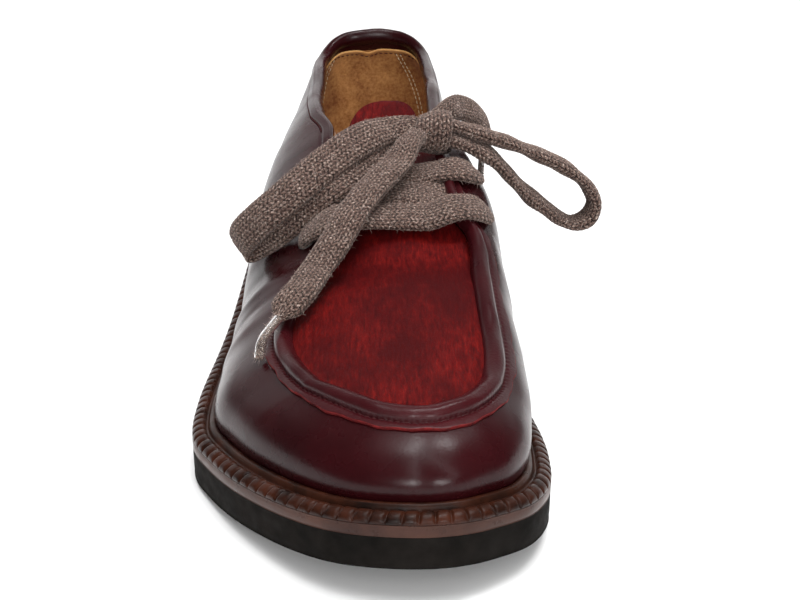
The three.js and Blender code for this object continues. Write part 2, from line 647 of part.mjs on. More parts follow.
// The bow. Each strand has points chosen along it, and the way the lace's width runs at its start and end.
const KNOT_CENTRE = new THREE.Vector3(23.5, -6, 86.8);
const BOW = {
  lace_end_front: {
    points: [[15.5, -18, 86], [11.6, -25.5, 81.6], [3.8, -36, 76.6], [-3, -46, 71], [-9, -54.5, 63],
      [-14.5, -62, 57.2], [-18.3, -71, 54.2], [-21.5, -75.5, 51.8]],
    start: [-0.9, 0.4, 0], end: [-0.88, 0.42, 0], width: 10.5,
  },
  lace_end_back: {
    points: [[29, 2, 92], [33.5, 8, 92.5], [38.5, 14, 89.8], [43, 19, 85.7], [45.5, 23.5, 80],
      [45.5, 26, 75.5], [45.4, 27, 71.5]],
    start: [-0.3, 0.2, 0.95], end: [0, 1, 0.1], width: 10.5,
  },
  lace_loop_lateral: {
    points: [[16, -7.5, 89], [7, -11, 88.2], [-2, -17.5, 86], [-12.5, -25.5, 80.4], [-22.3, -31, 73.4],
      [-31.2, -32, 66.1], [-38.2, -28, 58.6], [-41, -24, 53.7], [-39.8, -21.5, 51], [-35.2, -23, 53.6],
      [-27.3, -28.5, 60.2], [-19.8, -30, 66.8], [-10, -28.5, 73.9], [-1, -21, 78.6], [6.5, -12.5, 82.8]],
    start: [0.5, -0.6, -0.6], end: [0.67, -0.6, -0.56], turn: 7,
  },
  lace_loop_medial: {
    points: [[30, -5, 89], [38, -4, 86.5], [45.5, -3, 84], [52.5, -2, 81.7], [60, -1, 78.4], [68, 0, 74.8],
      [75, 0, 70.6], [80, 0, 66], [82.5, -1, 60.5], [80.5, -2, 55.2], [75.5, -2, 53.1], [70, -2, 55.1],
      [64.5, -3, 59.3], [58, -3, 64.2], [51, -4, 71.4], [44.5, -5, 78],
      [36.5, -6, 82.3], [30, -6.5, 84.5]],
    start: [0, 0.98, -0.2], end: [0, 0.98, -0.2], turn: 8,
  },
};

function laceKnot(swell = 0) {
  const ball = new THREE.SphereGeometry(1, 20, 14);
  ball.deleteAttribute('normal');
  ball.deleteAttribute('uv');
  ball.scale(KNOT_SIZE.x / 2 + swell, KNOT_SIZE.y / 2 + swell, KNOT_SIZE.z / 2 + swell);
  ball.translate(...KNOT_CENTRE);
  const merged = mergeVertices(ball, 1e-4);
  const corners = [];
  for (let i = 0; i < merged.attributes.position.count; i += 1) {
    corners.push(new THREE.Vector3().fromBufferAttribute(merged.attributes.position, i));
  }
  const index = [...merged.index.array];
  const faces = [];
  for (let i = 0; i < index.length; i += 3) faces.push(index.slice(i, i + 3));
  return bodyFrom(corners, faces);
}

// The stops of a strand, one to each chosen point
function strandStops({ points, start, end, width = LACE_WIDTH }) {
  const curve = new THREE.CatmullRomCurve3(points.map((p) => new THREE.Vector3(...p)));
  const count = points.length - 1;
  const stops = [];
  for (let i = 0; i <= count; i += 1) {
    const across = new THREE.Vector3(...start).lerp(new THREE.Vector3(...end), i / count);
    stops.push({ point: curve.getPoint(i / count), across, width });
  }
  return stops;
}

function strand(route, swell = 0) {
  const stops = strandStops(route);
  if (!route.turn) return laceBody(stops, swell);
  const halves = [stops.slice(0, route.turn + 2), stops.slice(route.turn - 1)];
  return joined(halves.map((half) => laceBody(half, swell)));
}

// What is left of a strand beside the other pieces of the bow
function strandBeside(route, cutters) {
  const parts = solidOf(without(strand(route), cutters)).decompose();
  return geometryOf(parts.reduce((largest, part) => (part.volume() > largest.volume() ? part : largest)));
}

// An aglet: a clear sleeve that carries on from the end of a strand
function aglet(route) {
  const stops = strandStops(route);
  const [before, last] = stops.slice(-2).map((stop) => stop.point);
  const along = last.clone().sub(before).normalize();
  const point = last.clone().addScaledVector(along, CLEARANCE);
  const radius = AGLET_DIAMETER / 2;
  const shoulder = AGLET_LENGTH - 0.6;
  const profile = [[0, 0], [radius, 0], [radius, shoulder], [radius - 0.6, AGLET_LENGTH],
    [0, AGLET_LENGTH]];
  return turnedBody(profile, { point, face: along });
}

function coloured(name, geometry, color, roughness, metalness = 0) {
  const mesh = new THREE.Mesh(geometry, new THREE.MeshStandardMaterial({ color, roughness, metalness }));
  mesh.name = name;
  geometry.computeVertexNormals();
  return mesh;
}

const shoe = new THREE.Group();
shoe.add(
  coloured('heel_block', heelBlock(), 0x1c1a18, 0.85),
  coloured('outsole', outsole(), 0x1e1c1a, 0.85),
  coloured('midsole', midsole(), 0x4b322c, 0.6),
  coloured('welt', welt(), 0x4b2314, 0.55),
  coloured('insole', insole(), 0xa5733f, 0.8),
  coloured('upper', without(upperShell(), Object.values(EYELETS).map(eyeletHole)), 0x45181d, 0.3),
  coloured('apron', apron(), 0x6e1212, 0.85),
  coloured('tongue', tongue(), 0x6e1212, 0.85),
  coloured('lace_bars', laceBars(), 0x6e5a50, 0.95),
);
Object.entries(EYELETS).forEach(([name, seat]) => {
  shoe.add(coloured(`eyelet_${name}`, eyelet(seat), 0x2a2523, 0.4, 0.6));
});

const knotRoom = laceKnot(CLEARANCE);
const barsRoom = laceBars(CLEARANCE);
const backRoom = strand(BOW.lace_end_back, CLEARANCE);
const wool = (name, geometry) => coloured(name, geometry, 0x6e5a50, 0.95);
shoe.add(
  wool('lace_knot', laceKnot()),
  wool('lace_end_front', strandBeside(BOW.lace_end_front, [knotRoom, barsRoom])),
  wool('lace_end_back', strandBeside(BOW.lace_end_back, [knotRoom])),
  wool('lace_loop_lateral', strandBeside(BOW.lace_loop_lateral, [knotRoom, barsRoom])),
  wool('lace_loop_medial', strandBeside(BOW.lace_loop_medial, [knotRoom, barsRoom, backRoom])),
  coloured('aglet_front', aglet(BOW.lace_end_front), 0xd8d4cc, 0.25),
  coloured('aglet_back', aglet(BOW.lace_end_back), 0xd8d4cc, 0.25),
);

export default shoe;
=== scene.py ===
"""A right lace-up shoe with an apron toe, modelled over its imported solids.

Shapes are worked out in millimetres, in the solids' own frame, and become metres when a mesh is made.
"""
import math

import bpy
import numpy as np
from mathutils import Matrix, Vector


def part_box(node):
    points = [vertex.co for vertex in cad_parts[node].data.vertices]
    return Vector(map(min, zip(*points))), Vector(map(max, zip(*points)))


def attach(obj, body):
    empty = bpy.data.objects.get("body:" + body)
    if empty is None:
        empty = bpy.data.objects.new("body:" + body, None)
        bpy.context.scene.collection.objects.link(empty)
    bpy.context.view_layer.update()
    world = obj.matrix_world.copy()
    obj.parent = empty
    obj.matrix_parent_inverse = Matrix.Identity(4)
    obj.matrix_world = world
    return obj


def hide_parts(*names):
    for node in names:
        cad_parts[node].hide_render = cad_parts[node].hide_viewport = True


MM = 0.001

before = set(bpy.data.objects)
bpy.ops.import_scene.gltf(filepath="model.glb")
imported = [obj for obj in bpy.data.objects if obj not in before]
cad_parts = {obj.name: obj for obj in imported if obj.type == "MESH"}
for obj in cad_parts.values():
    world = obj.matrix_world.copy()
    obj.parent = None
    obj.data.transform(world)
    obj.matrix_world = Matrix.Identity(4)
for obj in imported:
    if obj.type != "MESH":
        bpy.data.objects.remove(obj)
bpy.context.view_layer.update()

# ---- driving dimensions, as in the solids

SOLE_LOW, SOLE_HIGH = (np.array(corner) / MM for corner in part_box("outsole"))
LENGTH = SOLE_HIGH[1] - SOLE_LOW[1]
BALL_WIDTH = SOLE_HIGH[0] - SOLE_LOW[0]
OUTSOLE_THICKNESS = 9
MIDSOLE_THICKNESS = 3
HEEL_HEIGHT = 17
TOE_SPRING = 10.5
UPPER_INSET = 7.6
FEATHER_HEIGHT = 3
INSTEP_HEIGHT = 62
WALL = 2.4
WALL_BULGE = 3
COLLAR_THICKNESS = 4.5
ROLL_WIDTH = 6.5
ROLL_HEIGHT = 2.6
APRON_RECESS = 0.4
TONGUE_THICKNESS = 2.2
TONGUE_TOP_RISE = 6
TONGUE_OVERLAP = 7
TONGUE_SIDE_GAP = 5
INSOLE_THICKNESS = 2.5
RIB_COUNT = 170  # fewer in the solids, to stay within their triangles
EYELET_HOLE = 4.4
EYELET_FLANGE = 7
LACE_WIDTH = 12
LACE_THICKNESS = 4
CLEARANCE = 0.3
LAYER_CLEARANCE = 1

HEEL_FAN, TOE_FAN = 0.10, 0.86
HEEL_BREAST = 0.25
HEEL_RISE_END, WAIST_END, SPRING_START = 0.24, 0.62, 0.70
ROLL_START, ROLL_FULL = 0.52, 0.60
COLLAR_END = 0.43
APRON_END = 0.60
TONGUE_TOP = 0.405

MIDSOLE_SEAT = OUTSOLE_THICKNESS + CLEARANCE
WELT_SEAT = OUTSOLE_THICKNESS + MIDSOLE_THICKNESS + CLEARANCE
FEATHER_LINE = OUTSOLE_THICKNESS + MIDSOLE_THICKNESS + FEATHER_HEIGHT
UNDER_FACING = WALL + LAYER_CLEARANCE

# Outline of the outsole: shares of half the ball width (medial is positive) and of half the length
OUTLINE = np.array([
    (0.114, 1.000), (-0.305, 0.970), (-0.600, 0.847), (-0.705, 0.680), (-0.800, 0.480), (-0.855, 0.253),
    (-0.910, 0.000), (-0.970, -0.233), (-1.000, -0.427), (-0.971, -0.580), (-0.848, -0.683),
    (-0.657, -0.793), (-0.381, -0.907), (-0.124, -0.973), (0.190, -1.000), (0.438, -0.991),
    (0.629, -0.957), (0.815, -0.903), (0.939, -0.817), (0.987, -0.713), (1.000, -0.613), (0.979, -0.493),
    (0.933, -0.333), (0.857, -0.133), (0.790, 0.067), (0.768, 0.300), (0.790, 0.533), (0.829, 0.707),
    (0.781, 0.867), (0.524, 0.970),
])

# Sections of the upper, heel to toe, as in the solids
COLUMNS = ("along", "ridge", "height", "lateralRound", "medialRound", "lateralBulge", "medialBulge",
           "lean", "lateralEdge", "medialEdge")
SECTIONS = np.array([
    (0.000, 0.043, 1.660, 2.20, 2.20, 1.00, 1.00, 0.000, 0.800, 0.800),
    (0.050, 0.046, 1.550, 2.20, 2.30, 1.00, 1.00, 0.000, 0.780, 0.790),
    (0.100, 0.050, 1.310, 2.10, 2.40, 1.00, 1.00, 0.000, 0.720, 0.760),
    (0.167, 0.055, 1.210, 2.05, 2.70, 1.00, 1.00, 0.000, 0.660, 0.780),
    (0.233, 0.060, 1.130, 1.95, 3.40, 1.00, 1.00, 0.000, 0.600, 0.840),
    (0.300, 0.071, 1.082, 2.05, 3.80, 1.00, 1.00, 0.000, 0.580, 0.840),
    (0.367, 0.090, 1.040, 2.40, 3.80, 0.93, 1.00, 0.010, 0.550, 0.800),
    (0.430, 0.114, 1.000, 2.60, 3.60, 0.93, 1.17, 0.050, 0.460, 0.600),
    (0.480, 0.129, 0.997, 2.40, 4.20, 1.00, 1.33, 0.085, 0.460, 0.560),
    (0.540, 0.143, 0.977, 2.00, 4.60, 1.00, 1.40, 0.085, 0.465, 0.530),
    (0.600, 0.152, 0.910, 1.75, 5.00, 1.00, 1.50, 0.058, 0.465, 0.570),
    (0.635, 0.152, 0.855, 1.70, 5.00, 1.00, 1.50, 0.035, 0.470, 0.640),
    (0.660, 0.152, 0.806, 1.68, 5.00, 1.00, 1.50, 0.022, 0.500, 0.800),
    (0.690, 0.148, 0.745, 1.68, 4.80, 1.00, 1.43, 0.010, 0.590, 0.855),
    (0.720, 0.143, 0.685, 1.70, 4.40, 1.00, 1.33, 0.000, 0.650, 0.860),
    (0.760, 0.131, 0.606, 1.80, 3.80, 1.00, 1.27, 0.000, 0.685, 0.845),
    (0.790, 0.124, 0.548, 1.90, 3.30, 1.00, 1.17, 0.000, 0.690, 0.840),
    (0.830, 0.110, 0.484, 1.95, 2.90, 0.93, 1.07, 0.000, 0.680, 0.830),
    (0.860, 0.100, 0.439, 2.00, 2.60, 0.83, 1.00, 0.000, 0.655, 0.800),
    (0.900, 0.100, 0.392, 2.05, 2.40, 0.75, 0.90, 0.000, 0.645, 0.735),
    (0.950, 0.100, 0.325, 2.10, 2.20, 0.67, 0.75, 0.000, 0.640, 0.675),
    (1.000, 0.100, 0.258, 2.10, 2.10, 0.67, 0.67, 0.000, 0.640, 0.640),
])

# The bow. Each strand starts at inside, in the knot, runs along its points, as in the solids, and may end in
# tips. Start and end are the ways its width runs there.
KNOT_CENTRE = np.array((23.5, -6, 86.8))
BOW = {
    "lace_end_front": dict(
        inside=(20, -9, 87),
        points=[(15.5, -18, 86), (11.6, -25.5, 81.6), (3.8, -36, 76.6), (-3, -46, 71), (-9, -54.5, 63),
                (-14.5, -62, 57.2), (-18.3, -71, 54.2), (-21.5, -75.5, 51.8)],
        tips=[(-25.2, -80.8, 48.6), (-29.2, -86.4, 44.7), (-30.2, -89.8, 40.0)],
        start=(-0.9, 0.4, 0), end=(-0.88, 0.42, 0), width=10.5),
    "lace_end_back": dict(
        inside=(24, -3, 89),
        points=[(29, 2, 92), (33.5, 8, 92.5), (38.5, 14, 89.8), (43, 19, 85.7), (45.5, 23.5, 80),
                (45.5, 26, 75.5), (45.4, 27, 71.5)],
        tips=[(45.3, 28.6, 64), (45.3, 29.6, 57)],
        start=(-0.3, 0.2, 0.95), end=(0, 1, 0.1), width=10.5),
    "lace_loop_lateral": dict(
        inside=(22, -6, 87.5),
        points=[(16, -7.5, 89), (7, -11, 88.2), (-2, -17.5, 86), (-12.5, -25.5, 80.4), (-22.3, -31, 73.4),
                (-31.2, -32, 66.1), (-38.2, -28, 58.6), (-41, -24, 53.7), (-39.8, -21.5, 51),
                (-35.2, -23, 53.6), (-27.3, -28.5, 60.2), (-19.8, -30, 66.8), (-10, -28.5, 73.9),
                (-1, -21, 78.6), (6.5, -12.5, 82.8)],
        start=(0.5, -0.6, -0.6), end=(0.67, -0.6, -0.56), width=12),
    "lace_loop_medial": dict(
        inside=(24, -6, 88),
        points=[(30, -5, 89), (38, -4, 86.5), (45.5, -3, 84), (52.5, -2, 81.7), (60, -1, 78.4), (68, 0, 74.8),
                (75, 0, 70.6), (80, 0, 66), (82.5, -1, 60.5), (80.5, -2, 55.2), (75.5, -2, 53.1),
                (70, -2, 55.1), (64.5, -3, 59.3), (58, -3, 64.2), (51, -4, 71.4), (44.5, -5, 78),
                (36.5, -6, 82.3), (30, -6.5, 84.5)],
        start=(0, 0.98, -0.12), end=(0, 0.98, 0.08), width=12),
}


# ---- camera

def add_camera():
    """The photograph's view: where the camera stands, what it looks at, its roll and its lens."""
    place = Vector((-2.36, -376.71, 170.31)) * MM
    target = Vector((11.79, -43.82, 40.0)) * MM
    roll = 0.0104
    data = bpy.data.cameras.new("camera")
    data.sensor_width = 36
    data.lens = 49.48
    data.clip_start = 0.01
    camera = bpy.data.objects.new("camera", data)
    bpy.context.collection.objects.link(camera)
    turn = (target - place).to_track_quat("-Z", "Y").to_matrix() @ Matrix.Rotation(roll, 3, "Z")
    camera.matrix_world = Matrix.Translation(place) @ turn.to_4x4()
    bpy.context.scene.camera = camera


add_camera()


# ---- the upper's surface

def smooth(low, high, value):
    t = np.clip((value - low) / (high - low), 0, 1)
    return t * t * (3 - 2 * t)


def mix(a, b, t):
    return a + (b - a) * t


def through(xs, ys):
    """A curve through the values that never overshoots them."""
    xs, ys = np.asarray(xs, float), np.asarray(ys, float)
    slopes = np.diff(ys) / np.diff(xs)
    before, after = slopes[:-1], slopes[1:]
    same = before * after > 0
    middle = np.where(same, 2 * before * after / np.where(same, before + after, 1), 0)
    tangents = np.concatenate([slopes[:1], middle, slopes[-1:]])

    def at(x):
        value = np.clip(x, xs[0], xs[-1])
        i = np.clip(np.searchsorted(xs, value, side="left") - 1, 0, len(xs) - 2)
        step = xs[i + 1] - xs[i]
        t = (value - xs[i]) / step
        rest = 1 - t
        return (ys[i] * (1 + 2 * t) * rest * rest + tangents[i] * step * t * rest * rest
                + ys[i + 1] * (3 - 2 * t) * t * t - tangents[i + 1] * step * t * t * rest)

    return at


section = {name: through(SECTIONS[:, 0], SECTIONS[:, k]) for k, name in enumerate(COLUMNS)}


def share_of(y):
    return 0.5 - y / LENGTH


def place_of(share):
    return (0.5 - share) * LENGTH


def lift(y):
    toe = TOE_SPRING * np.clip((share_of(y) - SPRING_START) / (1 - SPRING_START), 0, 1) ** 2
    return toe + HEEL_HEIGHT * smooth(WAIST_END, HEEL_RISE_END, share_of(y))


def unit(v):
    return v / np.linalg.norm(v, axis=-1, keepdims=True)


def distances(points):
    """How far along its line each point is. The lines run along the last axis but one."""
    steps = np.linalg.norm(np.diff(points, axis=-2), axis=-1)
    return np.concatenate([np.zeros_like(steps[..., :1]), np.cumsum(steps, -1)], -1)


def read_at(at, run, data):
    """Rows of data, known at the distances run, read at other distances."""
    return np.stack([np.interp(at, run, data[:, k]) for k in range(data.shape[1])], -1)


def catmull(knots, closed, count):
    """Points along a uniform Catmull-Rom curve, evenly spaced in the curve's own parameter."""
    knots = np.asarray(knots, float)
    n = len(knots)
    if closed:
        t = np.linspace(0, n, count, endpoint=False)
        i = np.floor(t).astype(int)
        p0, p1, p2, p3 = (knots[(i + k) % n] for k in (-1, 0, 1, 2))
    else:
        padded = np.vstack([2 * knots[:1] - knots[1:2], knots, 2 * knots[-1:] - knots[-2:-1]])
        t = np.linspace(0, n - 1, count)
        i = np.minimum(np.floor(t).astype(int), n - 2)
        p0, p1, p2, p3 = (padded[i + k] for k in (0, 1, 2, 3))
    f = (t - i)[:, None]
    start, finish = (p2 - p0) / 2, (p3 - p1) / 2
    return ((2 * f ** 3 - 3 * f ** 2 + 1) * p1 + (f ** 3 - 2 * f ** 2 + f) * start
            + (3 * f ** 2 - 2 * f ** 3) * p2 + (f ** 3 - f ** 2) * finish)


def evenly(points, count, closed=False):
    """The same line as so many points at even distances."""
    line = np.vstack([points, points[:1]]) if closed else points
    run = distances(line)
    return read_at(np.linspace(0, run[-1], count, endpoint=not closed), run, line)


def outward(points):
    along = np.roll(points, -1, 0) - np.roll(points, 1, 0)
    return unit(np.stack([along[:, 1], -along[:, 0]], 1))


FINE_COUNT = 960
fine = evenly(catmull(OUTLINE * (BALL_WIDTH / 2, LENGTH / 2), True, 24000), FINE_COUNT, True)
low, high = fine.min(0), fine.max(0)
fine = (fine - (low + high) / 2) * ((BALL_WIDTH, LENGTH) / (high - low))
fine_normals = outward(fine)


class Inset:
    """The outline moved inward. It is read at any turn from 0 to 1, round the lateral side from the heel."""

    def __init__(self, inset):
        self.points = fine - fine_normals * inset
        self.normals = outward(self.points)
        toe, heel = self.points[:, 1].argmin(), self.points[:, 1].argmax()
        self.toe = toe / FINE_COUNT
        self.sides = {}
        for side, step in (("lateral", 1), ("medial", -1)):
            steps = (toe - heel) * step % FINE_COUNT
            order = heel + step * np.arange(steps + 1)
            ys = self.points[order % FINE_COUNT, 1]
            self.sides[side] = (-ys, order / FINE_COUNT + (side == "medial"))

    def at(self, turn):
        place = np.mod(turn, 1) * FINE_COUNT
        i = np.floor(place).astype(int) % FINE_COUNT
        t = (place - np.floor(place))[..., None]
        after = (i + 1) % FINE_COUNT
        return mix(self.points[i], self.points[after], t), unit(mix(self.normals[i], self.normals[after], t))

    def turn_at(self, y, side):
        ys, turns = self.sides[side]
        return np.interp(-np.asarray(y, float), ys, turns)


foot_line = Inset(UPPER_INSET)


def both_turns(share):
    """The turns of a share along the foot line, on the lateral and on the medial side."""
    return [foot_line.turn_at(place_of(share), side) for side in ("lateral", "medial")]


class Ray:
    """Rays of the upper, each from its foot on the feather line to the ridge."""

    def __init__(self, turn):
        self.turn = np.asarray(turn, float)
        self.foot, self.normal = foot_line.at(self.turn)
        self.along = share_of(self.foot[..., 1])
        spine = np.clip(self.along, HEEL_FAN, TOE_FAN)
        self.centre = np.stack([section["ridge"](spine) * BALL_WIDTH, place_of(spine)], -1)
        self.reach = np.linalg.norm(self.foot - self.centre, axis=-1)
        self.medial = smooth(-1, 1, (self.foot - self.centre)[..., 0] / (0.35 * self.reach))
        self.round = self.blend("Round")
        self.bulge = self.blend("Bulge") * WALL_BULGE
        self.edge = self.blend("Edge")
        self.lean = self.medial * section["lean"](self.along) * BALL_WIDTH

    def blend(self, name):
        return mix(section["lateral" + name](self.along), section["medial" + name](self.along), self.medial)


def surface(turn, share):
    """Points of the upper's outside, at shares of the way from the ridge to the feather line."""
    turn, share = np.broadcast_arrays(np.asarray(turn, float), np.asarray(share, float))
    ray = Ray(turn)
    out = np.clip(share, 0, 1)
    rise = np.clip(1 - out ** ray.round, 0, 1) ** (1 / ray.round)
    plan = ray.centre + (ray.foot - ray.centre) * out[..., None]
    base = FEATHER_LINE + lift(ray.foot[..., 1])
    ridge = FEATHER_LINE + lift(plan[..., 1]) + section["height"](share_of(plan[..., 1])) * INSTEP_HEIGHT
    plan = plan + ray.normal * (ray.bulge * np.sin(np.pi * rise) + ray.lean * rise * out)[..., None]
    return np.concatenate([plan, (base + (ridge - base) * rise)[..., None]], -1)


TURN_STEP = 0.002
SHARE_STEP = 0.02


def ridge_normal(y):
    def height(place):
        return FEATHER_LINE + lift(place) + section["height"](share_of(place)) * INSTEP_HEIGHT

    slope = (height(y + 1) - height(y - 1)) / 2
    return unit(np.stack([np.zeros_like(slope), -slope, np.ones_like(slope)], -1))


def surface_normal(turn, share):
    turn, share = np.broadcast_arrays(np.asarray(turn, float), np.asarray(share, float))
    near = np.clip(share, 2 * SHARE_STEP, 1 - SHARE_STEP / 4)
    outer = np.minimum(near + SHARE_STEP, 1)
    round_about = surface(turn + TURN_STEP, near) - surface(turn - TURN_STEP, near)
    down = surface(turn, outer) - surface(turn, near - SHARE_STEP)
    side = unit(np.cross(down, round_about))
    top = ridge_normal(surface(turn, share)[..., 1])
    return unit(mix(top, side, smooth(0, 8 * SHARE_STEP, share)[..., None]))


def off_surface(turn, share, out):
    out = np.asarray(out, float)
    return surface(turn, share) + surface_normal(turn, share) * out[..., None]


# ---- meshes

def grid(name, points, materials, wrap=(False, False), flip=False, slots=None):
    """A sheet or tube of quads through a grid of points in millimetres, closed either way round."""
    rows, columns = points.shape[:2]
    i, k = np.meshgrid(np.arange(rows - (not wrap[0])), np.arange(columns - (not wrap[1])), indexing="ij")
    i, k = i.ravel(), k.ravel()
    j, l = (i + 1) % rows, (k + 1) % columns
    corners = [(i, k), (j, k), (j, l), (i, l)]
    if flip:
        corners.reverse()
    mesh = mesh_of(name, points, np.stack([a * columns + b for a, b in corners], 1).tolist())
    if slots is not None:
        mesh.polygons.foreach_set("material_index", slots[i, k].astype(np.int32))
    return finished(name, mesh, materials)


def mesh_of(name, points, faces):
    mesh = bpy.data.meshes.new(name)
    mesh.from_pydata((points.reshape(-1, 3) * MM).tolist(), [], faces)
    return mesh


def finished(name, mesh, materials):
    for made in materials:
        mesh.materials.append(made)
    mesh.polygons.foreach_set("use_smooth", [True] * len(mesh.polygons))
    mesh.validate()
    mesh.update()
    thing = bpy.data.objects.new(name, mesh)
    bpy.context.collection.objects.link(thing)
    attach(thing, "root")
    return thing


def stitches(name, line, normals, material, pitch, length, thickness=0.5, sink=0.1):
    """Short threads along a line, each a little arch that dips in at both ends."""
    size, rows = 6, 5
    run = distances(line)
    across = unit(np.cross(unit(np.gradient(line, axis=0)), normals))
    count = int(run[-1] / pitch)
    t = np.arange(rows) / (rows - 1) - 0.5
    at = (np.arange(count)[:, None] + 0.5) * pitch + t * length
    centre, up, side = (read_at(at, run, data)[:, :, None] for data in (line, normals, across))
    rise = (thickness * (0.35 - 1.6 * t * t) - sink)[:, None, None]
    radius = (thickness / 2 * (1 - 1.4 * t * t))[:, None, None]
    angle = (2 * math.pi * np.arange(size) / size)[:, None]
    points = centre + up * rise + (side * np.cos(angle) + up * np.sin(angle)) * radius
    around = [(k, (k + 1) % size) for k in range(size)]
    thread_faces = [[i * size + a, i * size + b, (i + 1) * size + b, (i + 1) * size + a]
                    for i in range(rows - 1) for a, b in around]
    thread_faces += [list(range(size))[::-1], [(rows - 1) * size + k for k in range(size)]]
    faces = [[corner + n * rows * size for corner in face] for n in range(count) for face in thread_faces]
    return finished(name, mesh_of(name, points, faces), [material])


# ---- materials

class Shade:
    """A material with a Principled shader, and short calls for the nodes that feed it."""

    def __init__(self, name, **sockets):
        self.material = bpy.data.materials.new(name)
        self.material.use_nodes = True
        self.tree = self.material.node_tree
        self.shader = self.tree.nodes["Principled BSDF"]
        for socket, value in sockets.items():
            self.shader.inputs[socket.replace("_", " ")].default_value = value
        self.place = self.node("ShaderNodeTexCoord").outputs["Object"]

    def node(self, kind, inputs=(), **settings):
        made = self.tree.nodes.new(kind)
        for key, value in settings.items():
            setattr(made, key, value)
        for key, value in dict(inputs).items():
            if isinstance(value, bpy.types.NodeSocket):
                self.tree.links.new(value, made.inputs[key])
            else:
                made.inputs[key].default_value = value
        return made

    def stretched(self, scale):
        return self.node("ShaderNodeMapping", {"Vector": self.place, "Scale": scale}).outputs[0]

    def noise(self, scale, detail=4, roughness=0.55, place=None):
        inputs = {"Vector": place or self.place, "Scale": scale, "Detail": detail, "Roughness": roughness}
        return self.node("ShaderNodeTexNoise", inputs).outputs["Fac"]

    def cells(self, scale):
        return self.node("ShaderNodeTexVoronoi", {"Vector": self.place, "Scale": scale}).outputs["Distance"]

    def ramp(self, value, *stops):
        made = self.node("ShaderNodeValToRGB", {"Fac": value})
        elements = made.color_ramp.elements
        while len(elements) < len(stops):
            elements.new(0.5)
        for element, (position, color) in zip(elements, stops):
            element.position = position
            element.color = (*color, 1)
        return made.outputs["Color"]

    def math(self, operation, a, b):
        return self.node("ShaderNodeMath", {0: a, 1: b}, operation=operation).outputs[0]

    def both(self, a, part, b):
        """A part of a, and the rest of b."""
        return self.math("ADD", self.math("MULTIPLY", a, part), self.math("MULTIPLY", b, 1 - part))

    def blend(self, factor, a, b, kind="MIX"):
        inputs = {"Factor": factor, "A": a, "B": b}
        return self.node("ShaderNodeMix", inputs, data_type="RGBA", blend_type=kind).outputs["Result"]

    def range(self, value, low, high, start=0.3, stop=0.7):
        inputs = {"Value": value, "From Min": start, "From Max": stop, "To Min": low, "To Max": high}
        return self.node("ShaderNodeMapRange", inputs).outputs[0]

    def color(self, value):
        self.tree.links.new(value, self.shader.inputs["Base Color"])

    def roughness(self, value):
        self.tree.links.new(value, self.shader.inputs["Roughness"])

    def bump(self, *layers):
        """Each layer is (height, distance in millimetres, strength)."""
        normal = None
        for height, distance, strength in layers:
            inputs = {"Height": height, "Distance": distance * MM, "Strength": strength}
            if normal is not None:
                inputs["Normal"] = normal
            normal = self.node("ShaderNodeBump", inputs).outputs[0]
        self.tree.links.new(normal, self.shader.inputs["Normal"])
        return self.material


def grey(value):
    return (value, value, value)


def smooth_leather(name, deep, worn, roughness=(0.23, 0.31), coat=0.03, grain=0.1):
    """Polished leather: a close pebble grain, cloudy colour and a soft gloss."""
    made = Shade(name, Coat_Weight=coat, Coat_Roughness=0.2, Specular_IOR_Level=0.19)
    cloud = made.noise(28, 5, 0.6)
    made.color(made.ramp(cloud, (0.3, deep), (0.72, worn)))
    made.roughness(made.range(made.noise(90, 3), *roughness))
    pebble = made.cells(1500)
    wrinkle = made.noise(420, 6, 0.65)
    return made.bump((wrinkle, 0.25, 0.06), (pebble, 0.12, grain))


def pony_hair(name):
    """Short dyed hair that lies toward the toe, in fine streaks and worn patches."""
    made = Shade(name, Sheen_Weight=0.02, Sheen_Roughness=0.45, Sheen_Tint=(0.9, 0.16, 0.1, 1),
                 Specular_IOR_Level=0.08)
    strands = made.noise(1, 4, 0.7, made.stretched((2800, 420, 900)))
    locks = made.noise(1, 4, 0.65, made.stretched((900, 190, 300)))
    patches = made.noise(34, 5, 0.65)
    lay = made.ramp(made.both(locks, 0.6, strands), (0.34, (0.024, 0.0008, 0.0012)),
                    (0.5, (0.082, 0.0020, 0.0022)), (0.68, (0.165, 0.0065, 0.0045)))
    made.color(made.blend(made.range(patches, 0.0, 0.85, 0.40, 0.60), lay, (0.034, 0.0010, 0.0018, 1)))
    made.roughness(made.range(strands, 0.5, 0.75))
    return made.bump((locks, 0.7, 0.35), (strands, 0.4, 0.6))


def lining_leather(name, deep, pale):
    made = Shade(name, Sheen_Weight=0.15, Specular_IOR_Level=0.3)
    nap = made.both(made.noise(70, 6, 0.6), 0.5, made.noise(700, 5, 0.7))
    made.color(made.ramp(nap, (0.38, deep), (0.62, pale)))
    made.roughness(made.range(made.noise(200), 0.62, 0.8))
    return made.bump((made.noise(1400, 4), 0.15, 0.3))


def knitted_wool(name):
    """Plaited wool in taupe with rust flecks, with painted shade in the hollows of the mesh's own stitches.
    """
    made = Shade(name, Sheen_Weight=0.16, Sheen_Roughness=0.6, Sheen_Tint=(0.8, 0.7, 0.65, 1),
                 Specular_IOR_Level=0.15, Roughness=0.9)
    relief = made.node("ShaderNodeAttribute", attribute_name="relief").outputs["Fac"]
    fleck = made.noise(1500, 5, 0.85)
    yarn = made.ramp(fleck, (0.39, (0.014, 0.008, 0.007)), (0.46, (0.080, 0.045, 0.036)),
                     (0.51, (0.16, 0.100, 0.080)), (0.55, (0.12, 0.056, 0.040)), (0.60, (0.52, 0.42, 0.36)))
    # painted shade: the yarn colour is multiplied darker where the relief is low, in the hollows between
    # stitches
    painted_hollow_shade = made.ramp(relief, (0.32, grey(0.02)), (0.62, grey(0.5)), (0.92, grey(1.0)))
    made.color(made.blend(1.0, yarn, painted_hollow_shade, "MULTIPLY"))
    return made.bump((made.noise(2600, 4, 0.8), 0.35, 0.5))


